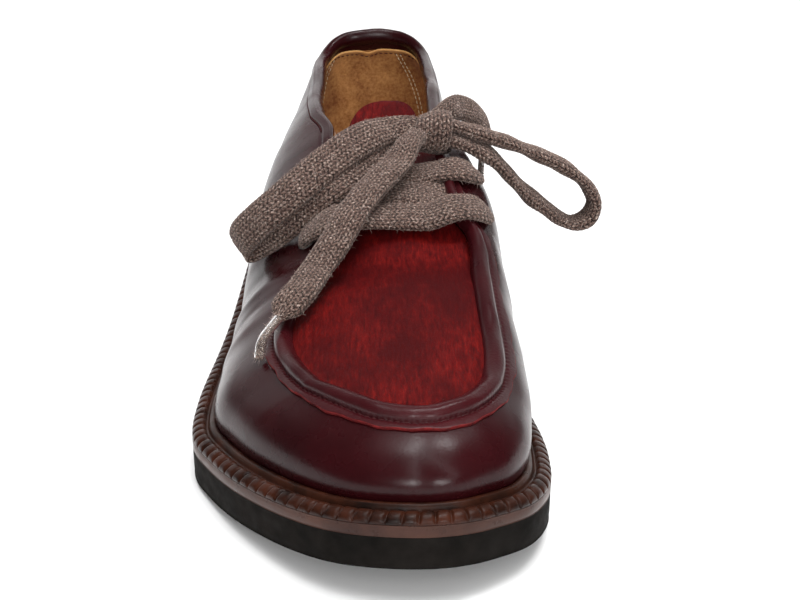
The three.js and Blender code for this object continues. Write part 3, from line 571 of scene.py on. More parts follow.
def wool_fibre(name):
    made = Shade(name, Specular_IOR_Level=0.2, Roughness=0.8)
    made.color(made.ramp(made.noise(900), (0.4, (0.16, 0.11, 0.09)), (0.6, (0.55, 0.46, 0.41))))
    return made.material


def mottled(name, deep, pale, cloud, rough, relief, ends=(0.3, 0.7), **sockets):
    """Two tones in a cloud of noise. Rough is (scale, low, high) and relief is (noise, depth, strength)."""
    made = Shade(name, **sockets)
    made.color(made.ramp(made.noise(*cloud), (ends[0], deep), (ends[1], pale)))
    if rough:
        made.roughness(made.range(made.noise(rough[0]), *rough[1:]))
    return made.bump((made.noise(*relief[0]), *relief[1:]))


def waxed_edge(name, deep, pale, roughness, scale):
    """Burnished leather edge: smears of wax along it over a darker body."""
    return mottled(name, deep, pale, (scale, 6, 0.65), (240, *roughness), ((700, 5, 0.7), 0.15, 0.35),
                   (0.32, 0.7), Coat_Weight=0.03, Coat_Roughness=0.3, Specular_IOR_Level=0.14)


def thread(name, color):
    return mottled(name, [0.6 * c for c in color], color, (3000, 2), None, ((4000, 2), 0.1, 0.4),
                   Specular_IOR_Level=0.3, Roughness=0.7)


leather = smooth_leather("upper_leather", (0.011, 0.0010, 0.0016), (0.026, 0.0026, 0.0038))
roll_leather = smooth_leather("roll_leather", (0.018, 0.0018, 0.0028), (0.044, 0.0046, 0.0066),
                              (0.25, 0.4), 0.12, 0.4)
raw_edge = waxed_edge("raw_edge", (0.030, 0.003, 0.004), (0.17, 0.012, 0.012), (0.6, 0.8), 400)
hair = pony_hair("pony_hair")
lining = lining_leather("lining_leather", (0.19, 0.066, 0.017), (0.50, 0.245, 0.08))
lining_edge = lining_leather("lining_edge", (0.5, 0.24, 0.07), (0.66, 0.36, 0.13))
footbed = lining_leather("footbed_leather", (0.3, 0.13, 0.04), (0.42, 0.2, 0.07))
wool = knitted_wool("lace_wool")
fibre = wool_fibre("wool_fibre")
rubber = mottled("sole_rubber", (0.004, 0.0035, 0.003), (0.011, 0.009, 0.0078), (120, 6),
                 (300, 0.62, 0.85), ((900, 5, 0.7), 0.2, 0.35), Specular_IOR_Level=0.04)
welt_leather = waxed_edge("welt_leather", (0.007, 0.0028, 0.0019), (0.042, 0.0115, 0.0056), (0.24, 0.42), 130)
welt_groove = waxed_edge("welt_groove", (0.007, 0.0028, 0.0019), (0.042, 0.0118, 0.0054), (0.26, 0.44), 90)
midsole_leather = waxed_edge("midsole_leather", (0.026, 0.0105, 0.0078), (0.072, 0.030, 0.020),
                             (0.24, 0.42), 60)
dark_thread = thread("dark_thread", (0.05, 0.008, 0.009))
tan_thread = thread("tan_thread", (0.80, 0.64, 0.42))
metal = mottled("eyelet_metal", (0.03, 0.027, 0.025), (0.09, 0.08, 0.075), (300,), (900, 0.28, 0.5),
                ((1500, 4), 0.05, 0.2), Metallic=0.85)
film = mottled("aglet_film", (0.5, 0.42, 0.38), (0.7, 0.62, 0.56), (300,), (500, 0.08, 0.3),
               ((400, 3), 0.05, 0.3), Transmission_Weight=0.9, IOR=1.4, Coat_Weight=0.3)


# ---- upper

UPPER_TURNS = 640
EDGE_BAND = 9.0
BAND_ROWS = 22
WALL_ROWS = 44
COLLAR_SEAM = 3.5
BINDING_DEPTH = 3.0
PADDING_DEPTH = 16
HEEL_GRIP_DEPTH = 46
# Where the heel grip's seams run on the lining: shares along the foot line at the rim and further down
HEEL_GRIP = {"medial": (0.030, 0.050), "lateral": (0.050, 0.060)}

# Soft folds of the leather: (side, share along, level up the wall, slant, half length, half width, height) in
# millimetres where they are lengths. Negative heights are creases.
FOLDS = [
    ("lateral", 0.640, 0.45, 0.35, 16, 3.0, 0.55), ("lateral", 0.668, 0.50, 0.25, 18, 2.6, -0.50),
    ("lateral", 0.700, 0.42, 0.10, 15, 3.4, 0.40), ("lateral", 0.600, 0.60, 0.50, 20, 4.0, -0.45),
    ("lateral", 0.560, 0.40, 0.30, 16, 4.5, 0.40), ("medial", 0.650, 0.45, -0.30, 16, 3.0, -0.45),
    ("medial", 0.690, 0.45, -0.20, 14, 3.0, 0.40), ("medial", 0.600, 0.50, -0.40, 18, 4.0, 0.40),
    ("lateral", 0.330, 0.35, 0.80, 20, 5.0, -0.35), ("medial", 0.330, 0.35, -0.80, 20, 5.0, -0.35),
]


def roll_share(along):
    """How much of its full width the roll has: it narrows toward the throat."""
    return mix(0.6, 1, smooth(0.60, 0.74, along))


def facing_share(along):
    """0 at the padded collar, 1 at the thin facings."""
    return smooth(COLLAR_END - 0.06, COLLAR_END + 0.02, along)


def wall_depth(along, depth):
    """How far the lining lies under the outside, at a depth under the rim."""
    padding = (COLLAR_THICKNESS - WALL) * (1 - facing_share(along))
    return WALL + padding * (1 - smooth(0, PADDING_DEPTH, depth))


def inner_shares(ray, count):
    """Shares along each ray from the rim to the foot line, close together at the rim."""
    full = np.arccos(np.clip(ray.edge ** (ray.round / 2), 0, 1))
    levels = 1 - np.linspace(0, 1, count) ** 1.6
    return np.cos(full[:, None] * levels) ** (2 / ray.round[:, None])


def edge_rows(along):
    """The collar's rim and the facing's edge: rows of [toward the ridge, out], in millimetres."""
    collar = np.array([(0, 0.4), (0.6, 0.2), (1.1, -0.5), (1.4, -1.6), (1.4, -2.8), (1.1, -3.9), (0.6, -4.7),
                       (0, -COLLAR_THICKNESS - 0.4)])
    facing = np.array([(0, 0.1), (0.4, 0), (0.7, -0.4), (0.8, -0.9), (0.8, -1.4), (0.7, -1.8), (0.4, -2.2),
                       (0, -WALL)])
    under_roll = np.array([(0, 0), (1, 0), (2.5, 0), (4, 0), (5.5, -0.1), (6, -0.8), (6.2, -1.6),
                           (6.2, -WALL)])
    to_roll = smooth(ROLL_START - 0.02, ROLL_START + 0.02, along)[:, None, None]
    narrow = np.stack([roll_share(along), np.ones_like(along)], -1)[:, None]
    return mix(mix(collar, facing, facing_share(along)[:, None, None]), under_roll * narrow, to_roll)


def folds_at(points, turn, level):
    out = np.zeros(points.shape[:2])
    medial = Ray(turn).medial
    for side, along, up, slant, length, width, height in FOLDS:
        home = foot_line.turn_at(place_of(along), side) % 1
        ys, heights = (np.array([np.interp(home, turn, column) for column in points[..., axis].T])
                       for axis in (1, 2))
        wanted = mix(heights[-1], heights[0], up)
        dy, dz = points[..., 1] - ys[np.abs(heights - wanted).argmin()], points[..., 2] - wanted
        across, along_fold = dy + slant * dz, dz - slant * dy
        on_side = medial if side == "medial" else 1 - medial
        out += on_side[:, None] * height * np.exp(-(across / width) ** 2 - (along_fold / length) ** 2)
    return out * smooth(0, 0.12, level) * smooth(1, 0.85, level)


def upper_grid():
    """The shell as a closed ring of profiles: outside from the feather line up, the rim, then inside down."""
    turn = np.arange(UPPER_TURNS) / UPPER_TURNS
    ray = Ray(turn)
    shares = mix(ray.edge[:, None], 1.0, np.linspace(0, 1, 90) ** 1.2)
    run = distances(surface(turn[:, None], shares))
    total = run[:, -1:]
    band = np.repeat(np.linspace(0, EDGE_BAND, BAND_ROWS)[None], UPPER_TURNS, 0)
    wall = EDGE_BAND + (total - EDGE_BAND) * np.linspace(0, 1, WALL_ROWS + 1)[1:]
    from_edge = np.concatenate([band, wall], 1)[:, ::-1]
    share = np.stack([np.interp(*row) for row in zip(from_edge, run, shares)])
    outside = surface(turn[:, None], share)
    on_collar = 1 - smooth(COLLAR_END + 0.02, COLLAR_END + 0.05, ray.along)[:, None]
    seam = np.exp(-((from_edge - COLLAR_SEAM) / 0.45) ** 2)
    out = on_collar * (0.55 * smooth(COLLAR_SEAM, COLLAR_SEAM - 0.9, from_edge) - 0.6 * seam)
    out = out + folds_at(outside, turn, 1 - from_edge / total)
    out = out * smooth(0, 1.5, total - from_edge)
    outside = outside + surface_normal(turn[:, None], share) * out[..., None]
    rows = edge_rows(ray.along)
    rim = off_surface(turn[:, None], ray.edge[:, None] - rows[..., 0] / ray.reach[:, None], rows[..., 1])
    inner_share = inner_shares(ray, 40)[:, 1:]
    depth = np.linalg.norm(surface(turn[:, None], inner_share) - surface(turn, ray.edge)[:, None], axis=2)
    inside = off_surface(turn[:, None], inner_share, -wall_depth(ray.along[:, None], depth))
    lined = ray.foot - ray.normal * WALL
    inside[:, -1] = np.concatenate([lined, outside[:, 0, 2:3]], 1)
    seat = WELT_SEAT + lift(ray.foot[:, 1]) + 0.2
    foot_row, lined_row = (np.column_stack([plan, seat])[:, None] for plan in (ray.foot, lined))
    points = np.concatenate([foot_row, outside, rim, inside, lined_row], 1)
    return ray.along, points, 1 + outside.shape[1] + rim.shape[1], depth


def build_upper():
    along, points, inner_from, depth = upper_grid()
    slots = np.zeros(points.shape[:2], int)
    # the lining starts under the collar's binding, and the facings have none
    binding = BINDING_DEPTH + 100 * smooth(COLLAR_END, COLLAR_END + 0.02, along)[:, None]
    slots[:, inner_from:inner_from + depth.shape[1]] = depth > binding
    shell = grid("upper_shell", points, [leather, lining], (True, True), slots=slots)
    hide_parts("upper")


def collar_stitching():
    """The seam on the upper's outside, along the collar."""
    turn = collar_turns(900)
    ray = Ray(turn)
    shares = ray.edge[:, None] + np.linspace(-0.3, 0.3, 60)
    run = distances(surface(turn[:, None], shares))
    share = np.array([np.interp(np.interp(edge, at, along) + COLLAR_SEAM, along, at)
                      for edge, at, along in zip(ray.edge, shares, run)])
    normals = surface_normal(turn, share)
    line = surface(turn, share) - 0.15 * normals
    stitches("collar_stitching", line, normals, dark_thread, pitch=2.0, length=1.7)


def inner_line(turn, depth, out):
    """A line on the lining, so deep under the collar's rim: its points and the normals into the shoe."""
    ray = Ray(turn)
    share = inner_shares(ray, 60)
    deep = np.linalg.norm(surface(turn[:, None], share) - surface(turn, ray.edge)[:, None], axis=2)
    at = np.array([np.interp(*row) for row in zip(depth, deep, share)])
    normals = -surface_normal(turn, at)
    return surface(turn, at) + normals * (wall_depth(ray.along, depth) + out)[..., None], normals


def collar_turns(count, end=COLLAR_END):
    lateral, medial = both_turns(end)
    return np.linspace(medial - 1, lateral, count)


def lining_trim():
    """The lining's raw edge under the binding, its seam, and the heel grip's two seams."""
    turn = collar_turns(520, COLLAR_END - 0.02)
    notch = 1.4 * np.exp(-((turn - 0.004) / 0.006) ** 2)
    top = BINDING_DEPTH - 0.4 + notch
    rows = [(0.0, -0.2), (0.05, 0.55), (0.4, 0.75), (1.1, 0.6), (1.5, 0.1), (1.7, -0.3)]
    points = np.stack([inner_line(turn, top + down, out)[0] for down, out in rows], 1)
    grid("lining_edge", points, [lining_edge])
    seam = stitches("lining_seam", *inner_line(turn, top + 2.4, 0.1), dark_thread, pitch=2.3, length=1.5,
                    thickness=0.45)
    depth = np.linspace(BINDING_DEPTH + 1.5, HEEL_GRIP_DEPTH, 120)
    for side, places in HEEL_GRIP.items():
        turn = foot_line.turn_at(place_of(mix(*places, smooth(0, 40, depth))), side)
        for n, apart in enumerate((0.0, 0.0045)):
            line, normals = inner_line(turn + (apart if side == "lateral" else -apart), depth, 0.1)
            seam = stitches(f"heel_grip_seam_{side}_{n}", line, normals, tan_thread, pitch=2.2,
                            length=1.6)


build_upper()
collar_stitching()
lining_trim()


# ---- apron roll

# Section of the rolled seam: (toward the ridge, out of the surface), raw edge first
ROLL_SECTION = [(-0.15, -0.3), (-0.15, 0.75), (0.15, 0.95), (1.1, 0.85), (1.75, 0.6), (2.05, 0.35),
                (2.3, 0.75), (2.7, 1.65), (3.4, 2.35), (4.3, 2.65), (5.2, 2.45), (6.0, 1.8), (6.6, 0.9),
                (6.9, -0.1), (6.9, -1.2)]
ROLL_TURNS = 960
ROLL_ROWS = 57
RAW_EDGE_ROWS = 7


def roll():
    turn = np.linspace(*both_turns(ROLL_START + 0.005), ROLL_TURNS)
    ray = Ray(turn)
    rows = catmull(ROLL_SECTION, False, ROLL_ROWS)
    size = smooth(ROLL_START, ROLL_FULL, ray.along)
    inward = rows[:, 0][None] * roll_share(ray.along)[:, None]
    out = rows[:, 1][None] * mix(0.35, 1, size)[:, None]
    run = distances(surface(turn, ray.edge))
    # the flange's raw edge wavers, the seam puckers at every stitch, and the roll swells a little
    waver = 0.25 * np.sin(run / 7.3) + 0.2 * np.sin(run / 3.1 + 1.4) + 0.12 * np.sin(run / 1.3)
    inward = inward + np.outer(waver, smooth(1.6, 0.2, rows[:, 0]))
    puckers = smooth(0.62, 0.74, ray.along) * (0.5 + 0.5 * np.sin(run * 2 * math.pi / 1.7))
    out = out - 0.22 * np.outer(puckers, np.exp(-((rows[:, 0] - 2.0) / 0.5) ** 2))
    swell = 0.16 * np.sin(run / 5.1) + 0.12 * np.sin(run / 2.7 + 0.6)
    out = out + np.outer(swell, np.exp(-((rows[:, 0] - 4.3) / 1.6) ** 2))
    points = off_surface(turn[:, None], ray.edge[:, None] - inward / ray.reach[:, None], out)
    slots = np.repeat((np.arange(ROLL_ROWS) < RAW_EDGE_ROWS)[None], ROLL_TURNS, 0).astype(int)
    made = grid("apron_roll", points, [roll_leather, raw_edge], slots=slots)
    seam_share = ray.edge - 2.0 * roll_share(ray.along) / ray.reach
    line = off_surface(turn, seam_share, np.full(ROLL_TURNS, 0.2))
    normals = surface_normal(turn, seam_share)
    seam = stitches("apron_stitching", line, normals, dark_thread, pitch=2.1, length=1.5, sink=0.05)


roll()


# ---- apron and tongue

def build_apron():
    """The hair plug: a low dome inside the roll that tucks under the facings behind."""
    turns, rows = 360, 46
    turn = np.linspace(*both_turns(APRON_END), turns)
    ray = Ray(turn)
    tucked = 4 * smooth(0.73, 0.69, ray.along)
    edge = ray.edge - ((ROLL_WIDTH - 0.4) * roll_share(ray.along) - tucked) / ray.reach
    level = np.linspace(1, 0, rows)
    share = edge[:, None] * level
    along = share_of(surface(turn[:, None], share)[..., 1])
    depth = mix(UNDER_FACING, APRON_RECESS, smooth(0.68, 0.74, along))
    points = off_surface(turn[:, None], share, -depth + 0.35 * smooth(1, 0.7, level))
    made = grid("apron_hair", points, [hair])
    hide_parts("apron")


def build_tongue():
    """Under the facings from the apron to a rounded top, with hair in front and leather behind."""
    rows = np.linspace(0, 1, 60)
    across = np.linspace(-1, 1, 71)
    along = mix(APRON_END - 2 * CLEARANCE / LENGTH, TONGUE_TOP, rows)
    rounding = np.sqrt(1 - np.clip((rows - 0.72) / 0.28, 0, 1) ** 2.4 * 0.96)
    rise = TONGUE_TOP_RISE * smooth(0.66, 1, rows)
    turn = np.where(across < 0, *(turns[:, None] for turns in both_turns(along)))
    ray = Ray(turn)
    leaving = smooth(0.45, 0.72, rows)[:, None]
    start = smooth(0, 0.3, rows)[:, None]
    under = mix(TONGUE_OVERLAP * start, -TONGUE_SIDE_GAP, leaving)
    bound = ROLL_WIDTH * smooth(ROLL_START, ROLL_FULL, along)[:, None] + CLEARANCE
    reach = ray.edge + (mix(-bound, 0, start) + under) / ray.reach
    share = np.abs(across) * reach * rounding[:, None]
    faces = []
    for depth in (0.0, TONGUE_THICKNESS):
        face = off_surface(turn, share, np.full(turn.shape, -UNDER_FACING - depth))
        face[..., 2] += rise[:, None]
        faces.append(face)
    points = np.concatenate([faces[0], faces[1][:, ::-1]], 1)
    points = np.concatenate([points, (points[-1:] + points[-1:, ::-1]) / 2], 0)
    slots = np.zeros(points.shape[:2], int)
    slots[:, len(across):] = 1
    made = grid("tongue_hair", points, [hair, lining], (False, True), slots=slots)
    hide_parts("tongue")


build_apron()
build_tongue()


# ---- sole

NOTCH_DEPTH = 0.8


def build_welt():
    """Storm welt: a bead against the upper, a groove, then notched ribs like a rope along the edge."""
    inner = UPPER_INSET - 0.1
    # (inset, height above the welt's seat)
    bead = [(inner - out, up) for out, up in (
        (0, -0.2), (0, 2.6), (0.15, 3.6), (0.6, 4.05), (1.2, 4.1), (1.8, 3.85), (2.25, 3.2), (2.5, 2.45),
        (2.8, 2.05), (3.1, 2.0), (3.35, 2.15), (3.6, 2.6))]
    ribs = [(3.5, 3.0), (3.0, 3.15), (2.4, 3.05), (1.8, 2.8), (1.2, 2.4), (0.6, 1.9), (0.2, 1.35), (0.0, 0.8),
            (0.0, 0.3), (0.3, 0.0), (3.5, -0.2)]
    # each rib's samples lie closest at its notch
    samples = np.array([0, 0.14, 0.28, 0.38, 0.44, 0.5, 0.56, 0.62, 0.72, 0.86])
    turn = ((np.arange(RIB_COUNT)[:, None] + samples) / RIB_COUNT).ravel()
    columns = []
    for inset, height in bead + ribs:
        plan = Inset(inset).at(turn)[0]
        columns.append(np.column_stack([plan, WELT_SEAT + height + lift(plan[:, 1])]))
    points = np.stack(columns, 1)
    slots = np.zeros(points.shape[:2], int)
    slots[:, 5:11] = 1
    ribbed = slice(len(bead), len(bead) + 8)
    weight, skew = np.zeros((2, len(columns)))
    weight[ribbed] = [0.5, 0.8, 1, 1, 1, 1, 0.8, 0.5]
    skew[ribbed] = np.linspace(0, 0.15, 8)
    phase = turn[:, None] * RIB_COUNT + skew
    gap = np.exp(-((np.mod(phase, 1) - 0.5) / 0.085) ** 2)
    points[..., 2] += weight * (0.06 * np.cos(2 * math.pi * phase) - NOTCH_DEPTH * gap)
    points[..., :2] -= (weight * 0.35 * gap)[..., None] * Inset(0).at(turn)[1][:, None]
    made = grid("storm_welt", points, [welt_leather, welt_groove], (True, True), slots=slots)
    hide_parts("welt")


def sole_slab(name, low, high, material, sides, rows, columns, inset=0.0, stop=1.0, under=None):
    """A solid layer: rows from heel to toe, across the underside, up the edge, over the top and back down."""
    line = Inset(inset)
    ys = line.points[:, 1]
    front = place_of(stop) if stop < 1 else ys.min()
    y = mix(ys.max(), front, 0.5 - 0.5 * np.cos(np.pi * np.linspace(0, 1, rows)))
    left, right = (line.at(line.turn_at(y, side))[0][:, 0] for side in ("lateral", "medial"))
    across = np.linspace(0, 1, columns)
    floor_z, top_z = low(y), high(y)
    bottom = np.stack([mix(left[:, None], right[:, None], across), np.repeat(y[:, None], columns, 1),
                       np.repeat(floor_z[:, None], columns, 1)], 2)
    if under is not None:
        bottom[..., 2] += under(bottom[..., 0], bottom[..., 1], across)
    top = bottom[:, ::-1].copy()
    top[..., 2] = top_z[:, None]
    narrow = np.minimum(1, (right - left) / 8)

    def wall(x, way, steps):
        return np.stack([np.stack([x - way * inward * narrow, y, mix(floor_z, top_z, up)], 1)
                         for up, inward in steps], 1)

    points = np.concatenate([bottom, wall(right, 1, sides), top, wall(left, -1, sides[::-1])], 1)
    return grid(name, points, [material], (False, True))


def border(across):
    return smooth(0.05, 0.12, across) * smooth(0.95, 0.88, across)


def heel_zone(share):
    return smooth(0.24, 0.21, share) * smooth(0.03, 0.06, share)


def heel_tread(_, y, across):
    wave = np.sin(y * 2 * math.pi / 8)
    return 0.8 * smooth(0.6, 0.9, wave) * border(across) * heel_zone(share_of(y))


def tread(x, y, across):
    """Shallow cross grooves under the forefoot and the heel, with a plain border and waist."""
    share = share_of(y)
    zone = smooth(0.60, 0.64, share) * smooth(0.96, 0.92, share) + heel_zone(share)
    wave = np.sin((y + 4 * np.sin(x / 9)) * 2 * math.pi / 7)
    return zone * border(across) * smooth(0.55, 0.85, wave)


def build_sole():
    def above(height):
        return lambda y: height + lift(y)

    rounded = [(0.04, 0.35), (0.12, 0.08), (0.3, 0), (0.7, 0), (0.9, 0.05), (0.97, 0.25)]
    band = [(0.03, 0.25), (0.15, 0.02), (0.5, -0.05), (0.85, 0.02), (0.97, 0.25)]
    lifts = [(0.02, 0.3), (0.06, 0.05), (0.30, 0), (0.33, 0.18), (0.36, 0), (0.62, 0), (0.65, 0.18),
             (0.68, 0), (0.97, 0.05)]
    outsole = sole_slab("outsole_rubber", lift, above(OUTSOLE_THICKNESS), rubber, rounded, 420, 41,
                        under=tread)
    midsole = sole_slab("midsole_band", above(MIDSOLE_SEAT - 0.25), above(WELT_SEAT + 0.05), midsole_leather,
                        band, 300, 5)
    insole = sole_slab("footbed", above(WELT_SEAT), above(WELT_SEAT + INSOLE_THICKNESS), footbed,
                       [(0.2, 0), (0.8, 0.1)], 120, 15, inset=UPPER_INSET + WALL + 0.4)
    heel = sole_slab("heel_lifts", lambda y: 0 * y, lambda y: HEEL_HEIGHT - 0.05 + 0 * y, rubber, lifts,
                     120, 25, stop=HEEL_BREAST, under=heel_tread)
    close_end(heel, HEEL_BREAST)
    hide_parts("outsole")
    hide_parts("midsole")
    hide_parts("insole")
    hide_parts("heel_block")


def close_end(thing, breast):
    """Fills the open end of a slab that stops short of the toe."""
    mesh = thing.data
    y = place_of(breast) * MM
    ring = [v.index for v in mesh.vertices if abs(v.co.y - y) < 1e-6]
    faces = [list(p.vertices) for p in mesh.polygons] + [ring]
    made = bpy.data.meshes.new(mesh.name + "_closed")
    made.from_pydata([v.co[:] for v in mesh.vertices], [], faces)
    for material in mesh.materials:
        made.materials.append(material)
    made.polygons.foreach_set("use_smooth", [True] * (len(faces) - 1) + [False])
    thing.data = made


build_welt()
build_sole()


# ---- lace

STITCH_WIDTH = 1.4
STITCH_LENGTH = 1.6
KNIT_STEP = 0.34
KNIT_RELIEF = 0.42
RING_POINTS = 80
LACE_ROUNDNESS = 2.6
FIBRES_PER_AREA = 0.55
FIBRE_LENGTH = (0.7, 2.2)
FIBRE_STAND = (0.15, 0.75)
FIBRE_WIDTH = 0.045
AGLET_LENGTH = 14


def knit(u, v, columns):
    """Height of plaited stitches from 0 to 1: u runs along the lace in millimetres, v counts columns."""
    place = np.mod(v, columns)
    column = np.floor(place)
    inside = place - column
    slant = np.where(np.mod(column, 2) < 1, 1.0, -1.0)
    phase = np.mod(u / STITCH_LENGTH + slant * (inside - 0.5) * 0.85, 1)
    strand = np.sqrt(np.abs(np.sin(math.pi * phase)))
    return strand * (0.5 + 0.5 * np.sqrt(np.abs(np.sin(math.pi * inside))))


def lace(name, centres, across, widths, thicknesses, seed):
    """A knitted flat tube along a line. The relief of its stitches is in the mesh and in an attribute."""
    run = distances(centres)
    at = np.linspace(0, run[-1], max(8, int(run[-1] / KNIT_STEP)))
    centre, side, width, thickness = (read_at(at, run, data)
                                      for data in (centres, across, widths, thicknesses))
    along = unit(np.gradient(centre, axis=0))
    up = unit(np.cross(side, along))
    side = np.cross(along, up)
    angle = np.linspace(0, 2 * math.pi, 400, endpoint=False)
    oval = [np.sign(wave) * np.abs(wave) ** (2 / LACE_ROUNDNESS) * size / 2
            for wave, size in ((np.cos(angle), LACE_WIDTH), (np.sin(angle), LACE_THICKNESS))]
    ring = evenly(np.stack(oval, 1), RING_POINTS, True)
    ring_normals = outward(ring)
    ring_normals *= np.sign((ring_normals * ring).sum())
    perimeter = np.linalg.norm(np.roll(ring, -1, 0) - ring, axis=1).sum()
    columns = 2 * round(perimeter / STITCH_WIDTH / 2)
    u, v = np.meshgrid(at, np.arange(RING_POINTS) / RING_POINTS * columns, indexing="ij")
    relief = knit(u + 0.15 * np.sin(u / 5 + seed), v, columns)
    slack = 0.12 * np.sin(at / 4.1 + seed)[:, None] + 0.08 * np.sin(at / 1.9 + 2 * seed)[:, None]
    out = KNIT_RELIEF * (relief - 0.6)
    x = ring[:, 0] * width / LACE_WIDTH * (1 + 0.02 * slack) + ring_normals[:, 0] * out
    z = ring[:, 1] * thickness / LACE_THICKNESS * (1 + slack) + ring_normals[:, 1] * out
    points = centre[:, None] + side[:, None] * x[..., None] + up[:, None] * z[..., None]
    made = grid(name, points, [wool], (False, True), flip=True)
    # the relief attribute also drives the painted shade in the wool's hollows
    values = made.data.attributes.new("relief", "FLOAT", "POINT")
    values.data.foreach_set("value", relief.reshape(-1).astype(np.float32))
    way = unit(side[:, None] * ring_normals[None, :, 0:1] + up[:, None] * ring_normals[None, :, 1:2])
    fuzz(made, points, way, along, seed)
    return made, centre


def fuzz(carrier, points, out, along, seed):
    """Loose fibres that stand off a lace, each a thin bent ribbon of three stretches."""
    pick = np.random.default_rng(seed + 20)
    rows, columns = points.shape[:2]
    count = int(rows * KNIT_STEP * columns * 0.33 * FIBRES_PER_AREA)
    i, k = pick.integers(1, rows - 1, count), pick.integers(0, columns, count)
    root, way, run = points[i, k], out[i, k], along[i]
    turn, length, stand, curl = (pick.uniform(low, high, (count, 1)) for low, high in
                                 ((0, 2 * math.pi), FIBRE_LENGTH, FIBRE_STAND, (-0.5, 0.5)))
    lay = run * np.cos(turn) + np.cross(way, run) * np.sin(turn)
    across = np.cross(lay, way)
    strip = []
    for t in (0.0, 0.4, 0.75, 1.0):
        bend = lay * t * (1 - 0.3 * stand * t) + way * stand * t * (1.3 - 0.6 * t)
        spine = root - 0.15 * way + length * (bend + across * curl * t * t * 0.6)
        thin = FIBRE_WIDTH * (1.2 - 0.9 * t)
        strip += [spine - across * thin, spine + across * thin]
    base = np.arange(count)[:, None] * 8
    faces = np.concatenate([base + np.array([2 * n, 2 * n + 1, 2 * n + 3, 2 * n + 2]) for n in range(3)], 0)
    name = carrier.name + "_fuzz"
    made = finished(name, mesh_of(name, np.stack(strip, 1), faces.tolist()), [fibre])
    loose.setdefault(carrier.name, []).append(made)


loose = {}


def build_bow():
    made = {}
    for seed, (name, route) in enumerate(BOW.items()):
        inside, tips = route["inside"], route.get("tips")
        knots = [inside, *route["points"], *(tips or ())]
        centres = catmull(knots, False, 40 * len(knots))
        t = np.linspace(0, 1, len(centres))[:, None]
        across = mix(np.array(route["start"]), np.array(route["end"]), t)
        if not tips:
            # a loop comes back into the knot, under where it left
            back = catmull([centres[-1], np.array(inside) - (0, 0, 3.5)], False, 20)[1:]
            centres = np.vstack([centres, back])
            across = np.vstack([across, np.repeat(across[-1:], len(back), 0)])
        run = distances(centres)
        total = run[-1]
        # the knot squeezes each strand where it comes out, and an aglet squeezes its tip
        squeeze = smooth(2, 24, run) if tips else smooth(2, 24, run) * smooth(2, 24, total - run)
        bunch = mix(0.66, 1, squeeze)[:, None]
        widths, thick = route["width"] * bunch, (LACE_THICKNESS + 0.5) * mix(1.25, 1, bunch)
        if tips:
            narrow = mix(0.2, 1, smooth(13, 19, total - run))[:, None]
            widths, thick = widths * narrow, thick * mix(0.3, 1, narrow)
        thing, line = lace(name + "_wool", centres, across, widths, thick, seed)
        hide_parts(name)
        made[name] = (thing, line, total)
    return made


def build_knot():
    """The wrap of the knot: the lace once round the bow, with its width along the bow."""
    count, radius_y, radius_z = 260, 6.2, 4.9
    angle = np.linspace(-0.6 * math.pi, 1.62 * math.pi, count)
    centres = np.stack([KNOT_CENTRE[0] + 1.6 * np.sin(angle * 0.5), KNOT_CENTRE[1] - radius_y * np.cos(angle),
                        KNOT_CENTRE[2] + radius_z * np.sin(angle)], 1)
    across = np.stack([np.full(count, 0.97), 0.1 * np.cos(angle), 0.2 * np.sin(angle)], 1)
    width = (11.5 + 1.2 * np.cos(angle))[:, None]
    made = lace("lace_knot_wool", centres, across, width, np.full((count, 1), 4.2), seed=9)[0]
    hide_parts("lace_knot")
    return made


OVER_ROLL = ROLL_HEIGHT + CLEARANCE + LACE_THICKNESS / 2
OVER_TONGUE = CLEARANCE + LACE_THICKNESS / 2 - UNDER_FACING

# The bars and crossings over the instep: rows of place across, share along, height and width share. The ends
# turn down into the eyelets.
BARS = {
    "front_bar": [(-0.555, 0.622, -2.0, 0.4), (-0.545, 0.622, 1.2, 0.55), (-0.51, 0.624, 3.1, 0.8),
                  (-0.45, 0.628, 4.4, 0.95), (-0.40, 0.630, OVER_ROLL, 1), (-0.32, 0.633, OVER_ROLL, 1),
                  (-0.22, 0.636, 2.6, 1), (-0.05, 0.640, 0.6, 1), (0.18, 0.643, 1.0, 1),
                  (0.33, 0.643, 3.2, 1), (0.46, 0.641, 4.6, 1), (0.60, 0.634, 3.6, 1),
                  (0.70, 0.626, 2.4, 1), (0.76, 0.619, 1.2, 0.85), (0.785, 0.612, -1.6, 0.45)],
    "back_bar": [(-0.565, 0.546, -2.0, 0.4), (-0.555, 0.548, 1.2, 0.6), (-0.52, 0.552, 3.2, 0.85),
                 (-0.44, 0.560, 4.4, 1), (-0.36, 0.560, 3.8, 1), (-0.22, 0.560, 0.4, 1),
                 (0.0, 0.562, -0.6, 1), (0.14, 0.562, -0.6, 1), (0.26, 0.563, 0.6, 1), (0.36, 0.565, 2.2, 1),
                 (0.50, 0.565, 3.0, 1), (0.60, 0.562, 2.4, 1), (0.68, 0.556, 1.4, 0.9),
                 (0.715, 0.545, -1.6, 0.45)],
    "crossing_out": [(-0.36, 0.618, OVER_TONGUE - 0.3, 1), (-0.2, 0.611, OVER_TONGUE, 1),
                     (0, 0.600, OVER_TONGUE, 1), (0.2, 0.588, OVER_TONGUE, 1),
                     (0.36, 0.576, OVER_TONGUE - 0.6, 1)],
    "crossing_in": [(-0.36, 0.572, OVER_TONGUE - 0.3, 1), (-0.2, 0.580, OVER_TONGUE, 1),
                    (0, 0.600, OVER_TONGUE + 1.4, 1), (0.2, 0.612, OVER_TONGUE + 0.6, 1),
                    (0.36, 0.618, OVER_TONGUE + 0.4, 1)],
}


def spots_over(along, place, out):
    turn = np.where(place < 0, *both_turns(along))
    normals = surface_normal(turn, np.abs(place))
    return surface(turn, np.abs(place)) + normals * np.asarray(out)[..., None], normals


